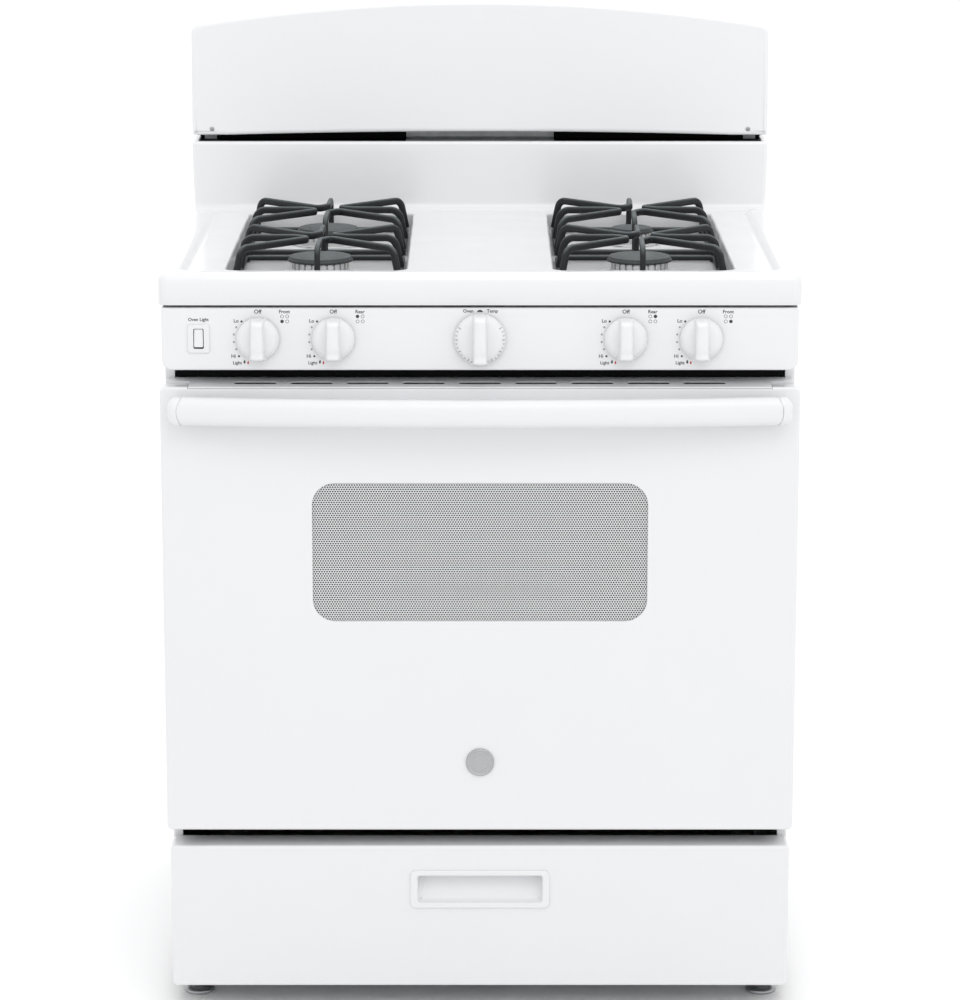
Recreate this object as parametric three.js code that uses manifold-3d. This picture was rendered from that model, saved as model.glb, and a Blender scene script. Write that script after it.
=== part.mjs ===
// Freestanding gas range, 30 inch class, as an assembly of separate parts.
// Millimetres. +X is to the right of someone facing the range, +Y goes to the rear, +Z up.
// Parts are drawn with y = 0 on the front plane of the door and z = 0 on the floor. The whole
// group is then moved so that its origin is the centre of the bottom of its box.
import * as THREE from 'three';
import { mergeVertices } from 'three/addons/utils/BufferGeometryUtils.js';
import Module from 'manifold-3d';

const wasm = await Module();
wasm.setup();

// ---- driving dimensions -------------------------------------------------------------------
const WIDTH = 759; // cooktop and door
const BODY_WIDTH = 752; // side panels, control panel and drawer front
const DEPTH = 675; // from the door's front plane to the rear cover
const HANDLE_REACH = 50; // the handle stands this far in front of the door
const COOKTOP_Z = 916; // top of the cooktop's rim
const LIP_Z = 878; // bottom edge of the cooktop's lip
const SHEET = 1.5; // steel sheet
const GAP = 0.4; // between parts that touch

const BODY_FRONT = 46; // front edge of the side panels
const BODY_BACK = 662; // back edge of the side panels
const SIDE = { bottom: 20, top: 876, frontFlange: 11.5, rearFlange: 8, footFlange: 14 };
const REAR_PANEL = { half: 372, bottom: 60, top: 872 };
const REAR_Y = BODY_BACK + GAP;
const REAR_RIB = { columns: [-180, 0, 180], half: 12, proud: 4, bottom: 300, top: 800 };
const GAS_INLET = { x: 352, z: 258 };
const GAS_NOTCH = { width: 22, bottom: 220, top: 300 };
const CORD_GLAND = { x: -250, z: 150, hole: 12, bore: 4.5, neck: 11, flange: 17 };
const REGULATOR_Y = 601;

const OVEN = { half: 300, front: 50.4, back: 530, floor: 270, top: 735 };
const OVEN_SILL = 300; // bottom of the opening in the front frame
const FRAME_FRONT = 48; // the front frame's front face
const RACK_LEDGES = [380, 450, 520, 590, 660];
const RACK_LEVELS = { lower: 450, upper: 590 };
const RACK = { half: 296, front: 88, back: 500, wire: 4, rim: 6, pitch: 74 };
const INSULATION = 27;
const LAMP = { x: -200, z: 670, hole: 20 };
const OVEN_FLUE = { half: 60, front: 430, back: 500 };
const BURNER_TUBE = { z: 283, radius: 10, shutter: 13, bore: 7, front: 80, back: 590, hole: 14 };
const OVEN_FLOOR_Z = 297;

const DOOR = { bottom: 233, top: 780, thick: 44, skinDepth: 26, corner: 7 };
const HINGE = { y: 15, z: 243, x: 348, pin: 3.5 };
const WINDOW = { half: 200, bottom: 494, top: 663.5, corner: 27 };
const TRIM = { half: 346, front: 4, back: 40, thick: 3, slots: 9, pitch: 66.7, slotLength: 50 };
const PLUG = { half: 293, bottom: 307, top: 728, depth: 58 };
const SIGHT = { half: 190, bottom: 505, top: 652, overlap: 12 };
const PANE = 4; // thickness of the door's two glass panes
const GASKET = { half: 315, bottom: 285, top: 750, width: 10 };
const HANDLE = { z: 755, height: 34.5, half: 368.5, thick: 24, bow: 20, mount: 30 };
const BADGE = { z: 319, radius: 17 };

const PANEL = { front: 2, bottom: 800, top: 875, corner: 12 };
const KNOB_Z = 838;
const BURNER_KNOBS = { front_left: -262, rear_left: -173, rear_right: 172, front_right: 261 };
const SWITCH_X = -332;
const BEZEL = { half: 13, high: 17, holeHalf: 7, holeHigh: 13 };
const KNOB_RADIUS = 26;
const OVEN_KNOB_RADIUS = 31.5;
const KNOB_BACK = -1.5; // rear face of every knob
const STEM = { radius: 3, back: 50, length: 66, clearance: 0.8 };
const ROCKER = { pivot: 6, tilt: 7 };
const PIPE = { y: 64, radius: 9 };

const WELL = { inner: 88, outer: 302, front: 45, back: 532, floor: 887, corner: 14 };
const BURNER = { x: 195, front: 180, rear: 424 };
const CAP_TOP = 911;
const LARGE_BURNER = 40;
const SMALL_BURNER = 28;
const GRATE = { half: 98, top: 936, rod: 4, foot: 898 };

const FIELD = { inset: 30, drop: 3 }; // the cooktop's middle lies a little below its rim
const RISER = { front: 548, top: 1005, half: 378, fillet: 13, shelf: 55 };
const BACKGUARD = { front: 552, bottom: 1013, shoulder: 1158, top: 1187, corner: 13, lean: 0.06 };
const BACKGUARD_BACK = DEPTH - SHEET - GAP;
const REAR_COVER = { half: 372, bottom: 882, shoulder: 1150, top: 1178, louvres: 7, pitch: 90 };

const DRAWER = { bottom: 34, top: 213, thick: 44, tray: 318, trayFloor: 56, trayTop: 180, back: 560 };
const PULL = { half: 85, bottom: 134, top: 182, depth: 21 };
const PULL_HOLE = { half: 76, bottom: 141, top: 175 };
const RAIL = { bottom: 42, top: 74, inner: 330, outer: 373.5 };
const LEG = { x: 350, front: 80, rear: 620 };

// ---- looks --------------------------------------------------------------------------------
const LOOKS = {
  porcelain: { color: 0xf0f1f1, roughness: 0.22, metalness: 0 },
  whitePaint: { color: 0xeeefef, roughness: 0.35, metalness: 0 },
  whitePlastic: { color: 0xf4f4f4, roughness: 0.4, metalness: 0 },
  blackEnamel: { color: 0x17191a, roughness: 0.35, metalness: 0 },
  galvanised: { color: 0xb3b7b9, roughness: 0.45, metalness: 0.9 },
  steel: { color: 0x8e9294, roughness: 0.4, metalness: 1 },
  castIron: { color: 0x4a5153, roughness: 0.6, metalness: 0.2 },
  aluminium: { color: 0xc9cbcc, roughness: 0.4, metalness: 0.9 },
  chrome: { color: 0xd8dadb, roughness: 0.15, metalness: 1 },
  brass: { color: 0xb99b52, roughness: 0.35, metalness: 1 },
  glass: { color: 0xb9bcbc, roughness: 0.08, metalness: 0 },
  wool: { color: 0xcfc7a4, roughness: 0.95, metalness: 0 },
  rope: { color: 0x8d8f8e, roughness: 0.9, metalness: 0 },
  rubber: { color: 0x202224, roughness: 0.8, metalness: 0 },
};

// ---- solids -------------------------------------------------------------------------------
// A closed geometry as a solid. Triangles that shrink to a line, as at a lathe's axis, are left out.
function solid(geometry) {
  geometry.deleteAttribute('normal');
  geometry.deleteAttribute('uv');
  const merged = mergeVertices(geometry, 1e-4);
  const corners = merged.index.array;
  const triangles = [];
  for (let i = 0; i < corners.length; i += 3) {
    const [a, b, c] = [corners[i], corners[i + 1], corners[i + 2]];
    if (a !== b && b !== c && c !== a) {
      triangles.push(a, b, c);
    }
  }
  return new wasm.Manifold(new wasm.Mesh({
    numProp: 3,
    vertProperties: new Float32Array(merged.attributes.position.array),
    triVerts: new Uint32Array(triangles),
  }));
}

function geometryOf(body) {
  const mesh = body.getMesh();
  const geometry = new THREE.BufferGeometry();
  geometry.setAttribute('position', new THREE.BufferAttribute(mesh.vertProperties, 3));
  geometry.setIndex(new THREE.BufferAttribute(mesh.triVerts, 1));
  return geometry;
}

function join(first, ...others) {
  return others.reduce((body, other) => body.add(other), first);
}

function cut(body, ...tools) {
  return tools.reduce((left, tool) => left.subtract(tool), body);
}

function box(x0, x1, y0, y1, z0, z1) {
  const geometry = new THREE.BoxGeometry(x1 - x0, y1 - y0, z1 - z0);
  geometry.translate((x0 + x1) / 2, (y0 + y1) / 2, (z0 + z1) / 2);
  return solid(geometry);
}

// A box that is mirrored to the left side when side is -1.
function sideBox(side, x0, x1, y0, y1, z0, z1) {
  return side > 0 ? box(x0, x1, y0, y1, z0, z1) : box(-x1, -x0, y0, y1, z0, z1);
}

function polygon(points) {
  return new THREE.Shape(points.map(([a, b]) => new THREE.Vector2(a, b)));
}

function circlePoints(a, b, sides) {
  return Array.from({ length: sides }, (_, i) => {
    const angle = (i / sides) * Math.PI * 2;
    return [Math.cos(angle) * a, Math.sin(angle) * b];
  });
}

function roundedRectangle(a0, a1, b0, b1, radius) {
  const shape = new THREE.Shape();
  shape.moveTo(a0 + radius, b0);
  shape.lineTo(a1 - radius, b0);
  shape.absarc(a1 - radius, b0 + radius, radius, -Math.PI / 2, 0);
  shape.lineTo(a1, b1 - radius);
  shape.absarc(a1 - radius, b1 - radius, radius, 0, Math.PI / 2);
  shape.lineTo(a0 + radius, b1);
  shape.absarc(a0 + radius, b1 - radius, radius, Math.PI / 2, Math.PI);
  shape.lineTo(a0, b0 + radius);
  shape.absarc(a0 + radius, b0 + radius, radius, Math.PI, Math.PI * 1.5);
  return shape;
}

function extrusion(shape, depth, curveSegments = 3) {
  return new THREE.ExtrudeGeometry(shape, { depth, bevelEnabled: false, curveSegments });
}

// A shape drawn in x and y, standing from z0 to z1.
function alongZ(shape, z0, z1) {
  return solid(extrusion(shape, z1 - z0).translate(0, 0, z0));
}

// A shape drawn in x and z, reaching from y0 to y1.
function alongY(shape, y0, y1) {
  return solid(extrusion(shape, y1 - y0).rotateX(Math.PI / 2).translate(0, y1, 0));
}

// A shape drawn in y and z, reaching from x0 to x1.
function alongX(shape, x0, x1) {
  const turn = new THREE.Matrix4().makeBasis(
    new THREE.Vector3(0, 1, 0),
    new THREE.Vector3(0, 0, 1),
    new THREE.Vector3(1, 0, 0),
  );
  return solid(extrusion(shape, x1 - x0).applyMatrix4(turn).translate(x0, 0, 0));
}

function rodX(radius, x0, x1, y, z, sides = 12) {
  const geometry = new THREE.CylinderGeometry(radius, radius, x1 - x0, sides).rotateZ(-Math.PI / 2);
  return solid(geometry.translate((x0 + x1) / 2, y, z));
}

function rodY(radius, y0, y1, x, z, sides = 12) {
  const geometry = new THREE.CylinderGeometry(radius, radius, y1 - y0, sides);
  return solid(geometry.translate(x, (y0 + y1) / 2, z));
}

function rodZ(radius, z0, z1, x, y, sides = 12) {
  const geometry = new THREE.CylinderGeometry(radius, radius, z1 - z0, sides).rotateX(Math.PI / 2);
  return solid(geometry.translate(x, y, (z0 + z1) / 2));
}

// A profile of [radius, height] points, turned about the Z axis.
function turned(profile, sides = 32) {
  const points = profile.map(([radius, height]) => new THREE.Vector2(radius, height));
  return solid(new THREE.LatheGeometry(points, sides).rotateX(Math.PI / 2));
}

// ---- the scene graph ----------------------------------------------------------------------
const range = new THREE.Group();

function add(name, body, look, parent = range) {
  const mesh = new THREE.Mesh(geometryOf(body), new THREE.MeshStandardMaterial(LOOKS[look]));
  mesh.name = name;
  parent.add(mesh);
  return mesh;
}

// ---- body ---------------------------------------------------------------------------------
function sidePanel(side) {
  const half = BODY_WIDTH / 2;
  const { bottom, top, frontFlange, rearFlange, footFlange } = SIDE;
  return join(
    sideBox(side, half - SHEET, half, BODY_FRONT, BODY_BACK, bottom, top),
    sideBox(side, half - frontFlange, half, BODY_FRONT, BODY_FRONT + SHEET, bottom, top),
    sideBox(side, half - rearFlange, half, BODY_BACK - SHEET, BODY_BACK, bottom, top),
    sideBox(side, half - footFlange, half, BODY_FRONT, BODY_BACK, bottom, bottom + SHEET),
  );
}

function rearPanel() {
  const sheet = box(-REAR_PANEL.half, REAR_PANEL.half, REAR_Y, REAR_Y + SHEET,
    REAR_PANEL.bottom, REAR_PANEL.top);
  const { columns, half, proud, bottom, top } = REAR_RIB;
  const ribs = columns.map((x) => box(x - half, x + half, REAR_Y, REAR_Y + proud, bottom, top));
  const hollows = columns.map((x) => (
    box(x - half + 2, x + half - 2, REAR_Y - 1, REAR_Y + proud - SHEET, bottom + 2, top - 2)));
  const notch = box(GAS_INLET.x - GAS_NOTCH.width, REAR_PANEL.half + 1, REAR_Y - 1, REAR_Y + 3,
    GAS_NOTCH.bottom, GAS_NOTCH.top);
  const glandHole = rodY(CORD_GLAND.hole, REAR_Y - 1, REAR_Y + 3, CORD_GLAND.x, CORD_GLAND.z);
  return cut(join(sheet, ...ribs), ...hollows, notch, glandHole);
}

function baseFrame() {
  const { bottom, top, inner, outer } = RAIL;
  const pieces = [];
  for (const side of [-1, 1]) {
    pieces.push(
      sideBox(side, inner, outer, 60, 655, bottom, bottom + 2),
      sideBox(side, inner, inner + 2, 60, 655, bottom, top),
      sideBox(side, outer - 2, outer, 60, 655, bottom, top),
    );
  }
  const rear = box(-outer, outer, 653, 655, bottom, top);
  const rearWeb = box(-outer, outer, 600, 655, bottom, bottom + 2);
  const frontWeb = box(-outer, outer, 60, 100, bottom, bottom + 2);
  const frontStiffener = box(-inner, inner, 98, 100, bottom - 16, bottom + 2);
  const holes = [];
  for (const x of [-LEG.x, LEG.x]) {
    for (const y of [LEG.front, LEG.rear]) {
      holes.push(rodZ(5.6, bottom - 1, bottom + 3, x, y));
    }
  }
  return cut(join(...pieces, rear, rearWeb, frontWeb, frontStiffener), ...holes);
}

function levelingLeg() {
  return turned([[0, 0], [19, 0], [19, 5], [15, 8], [10, 8], [10, 18], [5, 18], [5, 60], [0, 60]], 14);
}

// ---- oven ---------------------------------------------------------------------------------
function ovenLiner() {
  const { half, front, back, floor, top } = OVEN;
  const shell = cut(
    box(-half - SHEET, half + SHEET, front, back + SHEET, floor - SHEET, top + SHEET),
    box(-half, half, front - 1, back, floor, top),
  );
  const ledges = [];
  for (const side of [-1, 1]) {
    for (const level of RACK_LEDGES) {
      ledges.push(sideBox(side, half - 12, half + 1, front + 20, back - 10, level, level + 3));
    }
    ledges.push(sideBox(side, half - 15, half + 1, front + 4, back - 10, OVEN_FLOOR_Z - 3, OVEN_FLOOR_Z));
  }
  const burnerHole = rodY(BURNER_TUBE.hole, back - 1, back + 3, 0, BURNER_TUBE.z);
  const lampHole = rodY(LAMP.hole, back - 1, back + 3, LAMP.x, LAMP.z);
  const flue = box(-OVEN_FLUE.half, OVEN_FLUE.half, OVEN_FLUE.front, OVEN_FLUE.back, top - 1, top + 3);
  return cut(join(shell, ...ledges), burnerHole, lampHole, flue);
}

function ovenFloor() {
  const low = OVEN_FLOOR_Z + GAP;
  const plate = box(-296, 296, OVEN.front + 6, OVEN.back - 6, low, low + SHEET);
  const slots = [];
  for (const side of [-1, 1]) {
    for (let y = 90; y < 480; y += 70) {
      slots.push(sideBox(side, 262, 272, y, y + 50, low - 1, low + SHEET + 1));
    }
  }
  return cut(plate, ...slots);
}

function ovenBurner() {
  const { z, radius, shutter, front, back } = BURNER_TUBE;
  const tube = rodY(radius, front, back, 0, z);
  const airShutter = rodY(shutter, back - 25, back, 0, z);
  const bore = rodY(BURNER_TUBE.bore, back - 90, back + 5, 0, z);
  const foot = box(-18, 18, front + 10, front + 12, OVEN.floor + GAP, z);
  return cut(join(tube, airShutter, foot), bore);
}

function ovenInsulation() {
  const { half, back, floor, top } = OVEN;
  const clear = SHEET + 2;
  const outer = half + clear + INSULATION;
  const blanket = cut(
    box(-outer, outer, 52, back + clear + INSULATION, floor - INSULATION, top + clear + INSULATION),
    box(-half - clear, half + clear, 51, back + clear, floor - clear, top + clear),
  );
  const burnerHole = rodY(BURNER_TUBE.hole + 2, back, back + 50, 0, BURNER_TUBE.z);
  const lampHole = rodY(LAMP.hole + 2, back, back + 50, LAMP.x, LAMP.z);
  const flue = box(-OVEN_FLUE.half - 2, OVEN_FLUE.half + 2, OVEN_FLUE.front - 2, OVEN_FLUE.back + 2,
    top, top + 50);
  return cut(blanket, burnerHole, lampHole, flue);
}

function ovenLamp() {
  return solid(new THREE.LatheGeometry([
    [0, 0], [17, 0], [17, 18], [24, 18], [24, 24], [18, 36], [10, 43], [0, 46],
  ].map(([r, h]) => new THREE.Vector2(r, h)), 20).rotateX(Math.PI));
}

function ovenRack() {
  const { half, front, back, wire, rim, pitch } = RACK;
  const frame = cut(
    box(-half, half, front, back, 0, rim),
    box(-half + rim, half - rim, front + rim, back - rim, -1, rim + 1),
  );
  const middle = (front + back) / 2;
  const crossWires = [box(-half + 3, half - 3, middle - wire / 2, middle + wire / 2, 1, 1 + wire)];
  for (let i = -3; i <= 3; i += 1) {
    const x = i * pitch;
    crossWires.push(box(x - wire / 2, x + wire / 2, front + 2, back - 2, wire, wire * 2));
  }
  return join(frame, ...crossWires);
}

function frontFrame() {
  const half = BODY_WIDTH / 2 - 13;
  const { y, z, x, pin } = HINGE;
  const plate = cut(
    box(-half, half, FRAME_FRONT, FRAME_FRONT + 2, 222, 798),
    box(-OVEN.half, OVEN.half, FRAME_FRONT - 1, FRAME_FRONT + 3, OVEN_SILL, OVEN.top),
  );
  const arms = [];
  for (const side of [-1, 1]) {
    const centre = side * x;
    arms.push(
      box(centre - 3, centre + 3, y, FRAME_FRONT + 1, z - 7, z + 7),
      rodX(7, centre - 3, centre + 3, y, z),
      rodX(pin, centre - 7.5, centre + 7.5, y, z),
    );
  }
  return join(plate, ...arms);
}

function doorGasket() {
  const { half, bottom, top, width } = GASKET;
  const outline = roundedRectangle(-half, half, bottom, top, 18);
  const hole = roundedRectangle(-half + width, half - width, bottom + width, top - width, 12);
  const y0 = DOOR.thick + GAP;
  const y1 = FRAME_FRONT - GAP;
  return cut(alongY(outline, y0, y1), alongY(hole, y0 - 1, y1 + 1));
}

// ---- door ---------------------------------------------------------------------------------
function hingePockets(y0, y1, z1) {
  return [-1, 1].map((side) => sideBox(side, 338.5, 357.5, y0, y1, DOOR.bottom - 1, z1));
}

function windowHole(y0, y1, grow = 0) {
  const { half, bottom, top, corner } = WINDOW;
  const outline = roundedRectangle(-half - grow, half + grow, bottom - grow, top + grow, corner);
  return alongY(outline, y0, y1);
}

function doorOuterPanel() {
  const half = WIDTH / 2;
  const { bottom, top } = DOOR;
  const skin = cut(
    alongY(roundedRectangle(-half, half, bottom, top, DOOR.corner), 0, DOOR.skinDepth),
    box(-half + SHEET, half - SHEET, SHEET, DOOR.skinDepth + 1, bottom + SHEET, top - SHEET),
  );
  const trimSeat = box(-TRIM.half - GAP, TRIM.half + GAP, TRIM.front - GAP, DOOR.skinDepth + 1,
    top - TRIM.thick, top + 1);
  return cut(skin, windowHole(-1, SHEET + 1), trimSeat, ...hingePockets(SHEET, DOOR.skinDepth + 1, 260));
}

function doorTopTrim() {
  const { half, front, back, thick, slots, pitch, slotLength } = TRIM;
  const strip = box(-half, half, front, back, DOOR.top - thick, DOOR.top);
  const cuts = [];
  for (let i = 0; i < slots; i += 1) {
    const x = (i - (slots - 1) / 2) * pitch;
    cuts.push(box(x - slotLength / 2, x + slotLength / 2, 16, 24, DOOR.top - 5, DOOR.top + 1));
  }
  return cut(strip, ...cuts);
}

function doorOuterGlass() {
  const { half, bottom, top } = WINDOW;
  const near = SHEET + GAP;
  return box(-half - 16, half + 16, near, near + PANE, bottom - 16, top + 16.5);
}

function doorInnerPanel() {
  const half = 371;
  const bottom = DOOR.bottom + 3;
  const top = DOOR.top - TRIM.thick - GAP;
  const back = DOOR.thick;
  const front = DOOR.skinDepth + GAP;
  const pan = cut(
    box(-half, half, front, back, bottom, top),
    box(-half + SHEET, half - SHEET, front - 1, back - SHEET, bottom + SHEET, top - SHEET),
  );
  const plug = box(-PLUG.half, PLUG.half, back - SHEET, PLUG.depth, PLUG.bottom, PLUG.top);
  const plugHollow = box(-PLUG.half + SHEET, PLUG.half - SHEET, front - 1, PLUG.depth - SHEET,
    PLUG.bottom + SHEET, PLUG.top - SHEET);
  const sight = box(-SIGHT.half, SIGHT.half, back, PLUG.depth + 1, SIGHT.bottom, SIGHT.top);
  return cut(cut(join(pan, plug), plugHollow, sight), ...hingePockets(front - 1, back + 1, 275));
}

function doorInnerGlass() {
  const back = PLUG.depth - SHEET - GAP;
  const { half, bottom, top, overlap } = SIGHT;
  return box(-half - overlap, half + overlap, back - PANE, back, bottom - overlap, top + overlap);
}

// A bar with an oval section that bows forward between two end mounts.
function doorHandle() {
  const { z, height, half, thick, bow: rise, mount } = HANDLE;
  const middleY = -(HANDLE_REACH - thick / 2);
  const endY = middleY + rise;
  const section = polygon(circlePoints(thick / 2, height / 2, 10));
  const bow = new THREE.QuadraticBezierCurve3(
    new THREE.Vector3(-half, endY, z),
    new THREE.Vector3(0, 2 * middleY - endY, z),
    new THREE.Vector3(half, endY, z),
  );
  const bar = new THREE.ExtrudeGeometry(section, { extrudePath: bow, steps: 12, bevelEnabled: false });
  const mounts = [];
  for (const side of [-1, 1]) {
    mounts.push(sideBox(side, half - mount, half, endY, -GAP, z - height / 2, z + height / 2));
  }
  const room = box(-half, half, -HANDLE_REACH, -GAP, z - height / 2, z + height / 2);
  return join(solid(bar), ...mounts).intersect(room);
}

function doorBadge() {
  const { radius } = BADGE;
  return turned([[0, GAP], [radius, GAP], [radius, 2], [radius - 1.5, 3.2], [0, 3.2]], 32);
}

// A channel of two cheeks that hang on the pin of the front frame's arm.
function hingeArm(side) {
  const { y, z, x, pin } = HINGE;
  const front = SHEET + GAP;
  const channel = cut(
    sideBox(side, x - 8, x + 8, front, 42, z - 7, 258),
    sideBox(side, x - 5, x + 5, front + 3, 43, z - 8, 259),
  );
  const strap = sideBox(side, x - 8, x + 8, front, front + 3, z - 7, 300);
  const hole = rodX(pin + 0.8, side * x - 10, side * x + 10, y, z);
  return cut(join(channel, strap), hole);
}

// ---- controls -----------------------------------------------------------------------------
function controlPanel() {
  const half = BODY_WIDTH / 2;
  const { front, bottom, top, corner } = PANEL;
  const outline = roundedRectangle(-half, half, bottom, top, corner);
  const squareTop = box(-half, half, front, 44, top - corner, top);
  const skin = cut(
    join(alongY(outline, front, 44), squareTop),
    alongY(roundedRectangle(-half + SHEET, half - SHEET, bottom + SHEET, top - SHEET, corner - SHEET),
      front + SHEET, 45),
  );
  const holes = Object.values(BURNER_KNOBS).map((x) => rodY(6, 0, 10, x, KNOB_Z));
  const switchHole = box(SWITCH_X - 9, SWITCH_X + 9, 0, 10, KNOB_Z - 14, KNOB_Z + 15);
  return cut(skin, ...holes, rodY(6, 0, 10, 0, KNOB_Z), switchHole);
}

function switchBezel() {
  const { half, high, holeHalf, holeHigh } = BEZEL;
  const flange = roundedRectangle(-half, half, -high, high, 3);
  const neck = box(-8.5, 8.5, PANEL.front - 1, 16, -13.5, 13.5);
  const plate = alongY(flange, PANEL.front - GAP - 1.8, PANEL.front - GAP);
  const hole = box(-holeHalf, holeHalf, PANEL.front - 5, 17, -holeHigh, holeHigh);
  return cut(join(plate, neck), hole);
}

// A shallow V of a rocker, lying tilted in its off position about a pivot on its own origin.
function switchRocker() {
  const face = polygon([[0, -9], [9, -11], [9, 11], [0, 9], [-7, 11], [-5, 0], [-7, -11]]);
  return alongX(face, -5.5, 5.5);
}

// The grip is a ridge across a domed skirt. The axis is local Z and the front is +Z.
function knob(radius, depth) {
  const skirt = turned([[0, 0], [radius - 1, 0], [radius, 1.5], [radius, 5], [radius - 3, 9], [0, 11]], 24);
  const section = polygon([[-10, 4], [10, 4], [7, depth - 3], [4.5, depth], [-4.5, depth], [-7, depth - 3]]);
  const ridge = solid(extrusion(section, radius * 2).rotateX(Math.PI / 2).translate(0, radius, 0));
  const round = rodZ(radius - 0.5, 0, depth + 1, 0, 0, 24);
  const bore = rodZ(STEM.radius + STEM.clearance, -1, depth - 8, 0, 0, 12);
  return cut(join(skirt, ridge.intersect(round)), bore);
}

function valveStem() {
  return rodZ(STEM.radius, 0, STEM.length, 0, 0, 12);
}

function gasManifold() {
  const { y, radius } = PIPE;
  const pipe = rodX(radius, -330, GAS_INLET.x, y, KNOB_Z, 8);
  const run = rodY(radius, y, REGULATOR_Y, GAS_INLET.x, KNOB_Z, 8);
  const drop = rodZ(radius, GAS_INLET.z + 26, KNOB_Z, GAS_INLET.x, REGULATOR_Y, 8);
  const elbows = [y, REGULATOR_Y].map((centre) => (
    box(GAS_INLET.x - 11, GAS_INLET.x + 11, centre - 11, centre + 11, KNOB_Z - 11, KNOB_Z + 11)));
  const valves = Object.values(BURNER_KNOBS).map((x) => (
    box(x - 12, x + 12, 47, 80, KNOB_Z - 14, KNOB_Z + 14)));
  const thermostat = box(-28, 28, 47, 92, KNOB_Z - 22, KNOB_Z + 22);
  const bores = [...Object.values(BURNER_KNOBS), 0].map((x) => (
    rodY(STEM.radius + STEM.clearance, 46, 60, x, KNOB_Z, 8)));
  return cut(join(pipe, run, drop, ...elbows, ...valves, thermostat), ...bores);
}

function pressureRegulator() {
  const { x, z } = GAS_INLET;
  const y = REGULATOR_Y;
  const housing = join(rodX(24, x - 13, x + 13, y, z, 20), rodX(12, x - 20, x + 20, y, z));
  const neck = rodY(9, y, 640, x, z);
  const inlet = cut(rodY(14, 636, 672, x, z, 6), rodY(7, 650, 673, x, z));
  const top = rodZ(11, z + 10, z + 26 - GAP, x, y);
  return join(housing, neck, inlet, top);
}

function cordGland() {
  const { neck, flange, bore } = CORD_GLAND;
  const body = join(rodY(neck, 650, 666, 0, 0), rodY(flange, REAR_Y + SHEET + GAP, 670, 0, 0));
  return cut(body, rodY(bore, 649, 671, 0, 0));
}

// ---- cooktop ------------------------------------------------------------------------------
function cooktopDeck() {
  const half = WIDTH / 2;
  const back = DEPTH - 4;
  const section = new THREE.Shape();
  section.moveTo(0, LIP_Z);
  section.lineTo(back, LIP_Z);
  section.lineTo(back, COOKTOP_Z);
  section.lineTo(12, COOKTOP_Z);
  section.absarc(12, COOKTOP_Z - 12, 12, Math.PI / 2, Math.PI);
  const plan = roundedRectangle(-half, half, 0, back + 20, 12);
  const block = alongX(section, -half, half).intersect(alongZ(plan, LIP_Z - 1, COOKTOP_Z + 1));
  const { inset, drop } = FIELD;
  const field = alongZ(roundedRectangle(-half + inset, half - inset, inset + 2, RISER.front - 4, 20),
    COOKTOP_Z - drop, COOKTOP_Z + 1);
  const under = box(-half + 2, half - 2, 6, back - 2, LIP_Z - 1, COOKTOP_Z - 4.5);
  const frontUnder = box(-half + 2, half - 2, 2, 7, LIP_Z - 1, COOKTOP_Z - 12);
  const flue = box(-150, 150, 590, 650, COOKTOP_Z - 10, COOKTOP_Z + 1);
  return cut(block, field, under, frontUnder, flue);
}

function wellBlock(side, grow, z0, z1) {
  const { inner, outer, front, back, corner } = WELL;
  const x0 = side > 0 ? inner : -outer;
  const x1 = side > 0 ? outer : -inner;
  const outline = roundedRectangle(x0 - grow, x1 + grow, front - grow, back + grow, corner + grow);
  return alongZ(outline, z0, z1);
}

function riser() {
  const { front, top, half, fillet, shelf } = RISER;
  const base = COOKTOP_Z - 1;
  const section = new THREE.Shape();
  section.moveTo(front - fillet, base);
  section.lineTo(front + 3, base);
  section.lineTo(front + 3, top - 2);
  section.lineTo(front + shelf, top - 2);
  section.lineTo(front + shelf, top);
  section.lineTo(front, top);
  section.lineTo(front, base + 1 + fillet);
  section.absarc(front - fillet, base + 1 + fillet, fillet, 0, -Math.PI / 2, true);
  const face = alongX(section, -half, half);
  const cheeks = [-1, 1].map((side) => (
    sideBox(side, half - SHEET, half, front, DEPTH - 4, COOKTOP_Z - 1, top)));
  return join(face, ...cheeks);
}

function cooktop() {
  let body = cooktopDeck();
  for (const side of [-1, 1]) {
    body = join(body, wellBlock(side, SHEET, WELL.floor - SHEET, COOKTOP_Z - FIELD.drop));
    body = cut(body, wellBlock(side, 0, WELL.floor, COOKTOP_Z + 1));
    for (const y of [BURNER.front, BURNER.rear]) {
      body = cut(body, rodZ(14, WELL.floor - 5, WELL.floor + 1, side * BURNER.x, y));
    }
  }
  return join(body, riser());
}

// Burner, cap and grate are drawn about the burner's own axis, at their real height.
function burnerHead(radius) {
  const z = WELL.floor + GAP;
  const r = radius;
  return turned([
    [0, z - 12], [11, z - 12], [11, z], [r + 6, z], [r + 6, z + 3], [r - 8, z + 6],
    [r - 4, z + 16], [r - 14, z + 16], [r - 14, z + 12], [0, z + 12],
  ], 18);
}

function burnerCap(radius) {
  const z = WELL.floor + GAP + 16 + GAP;
  const r = radius;
  return turned([
    [0, z - 2], [r - 15, z - 2], [r - 15, z], [r - 0.5, z], [r, z + 2], [r - 6, CAP_TOP], [0, CAP_TOP],
  ], 20);
}

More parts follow.
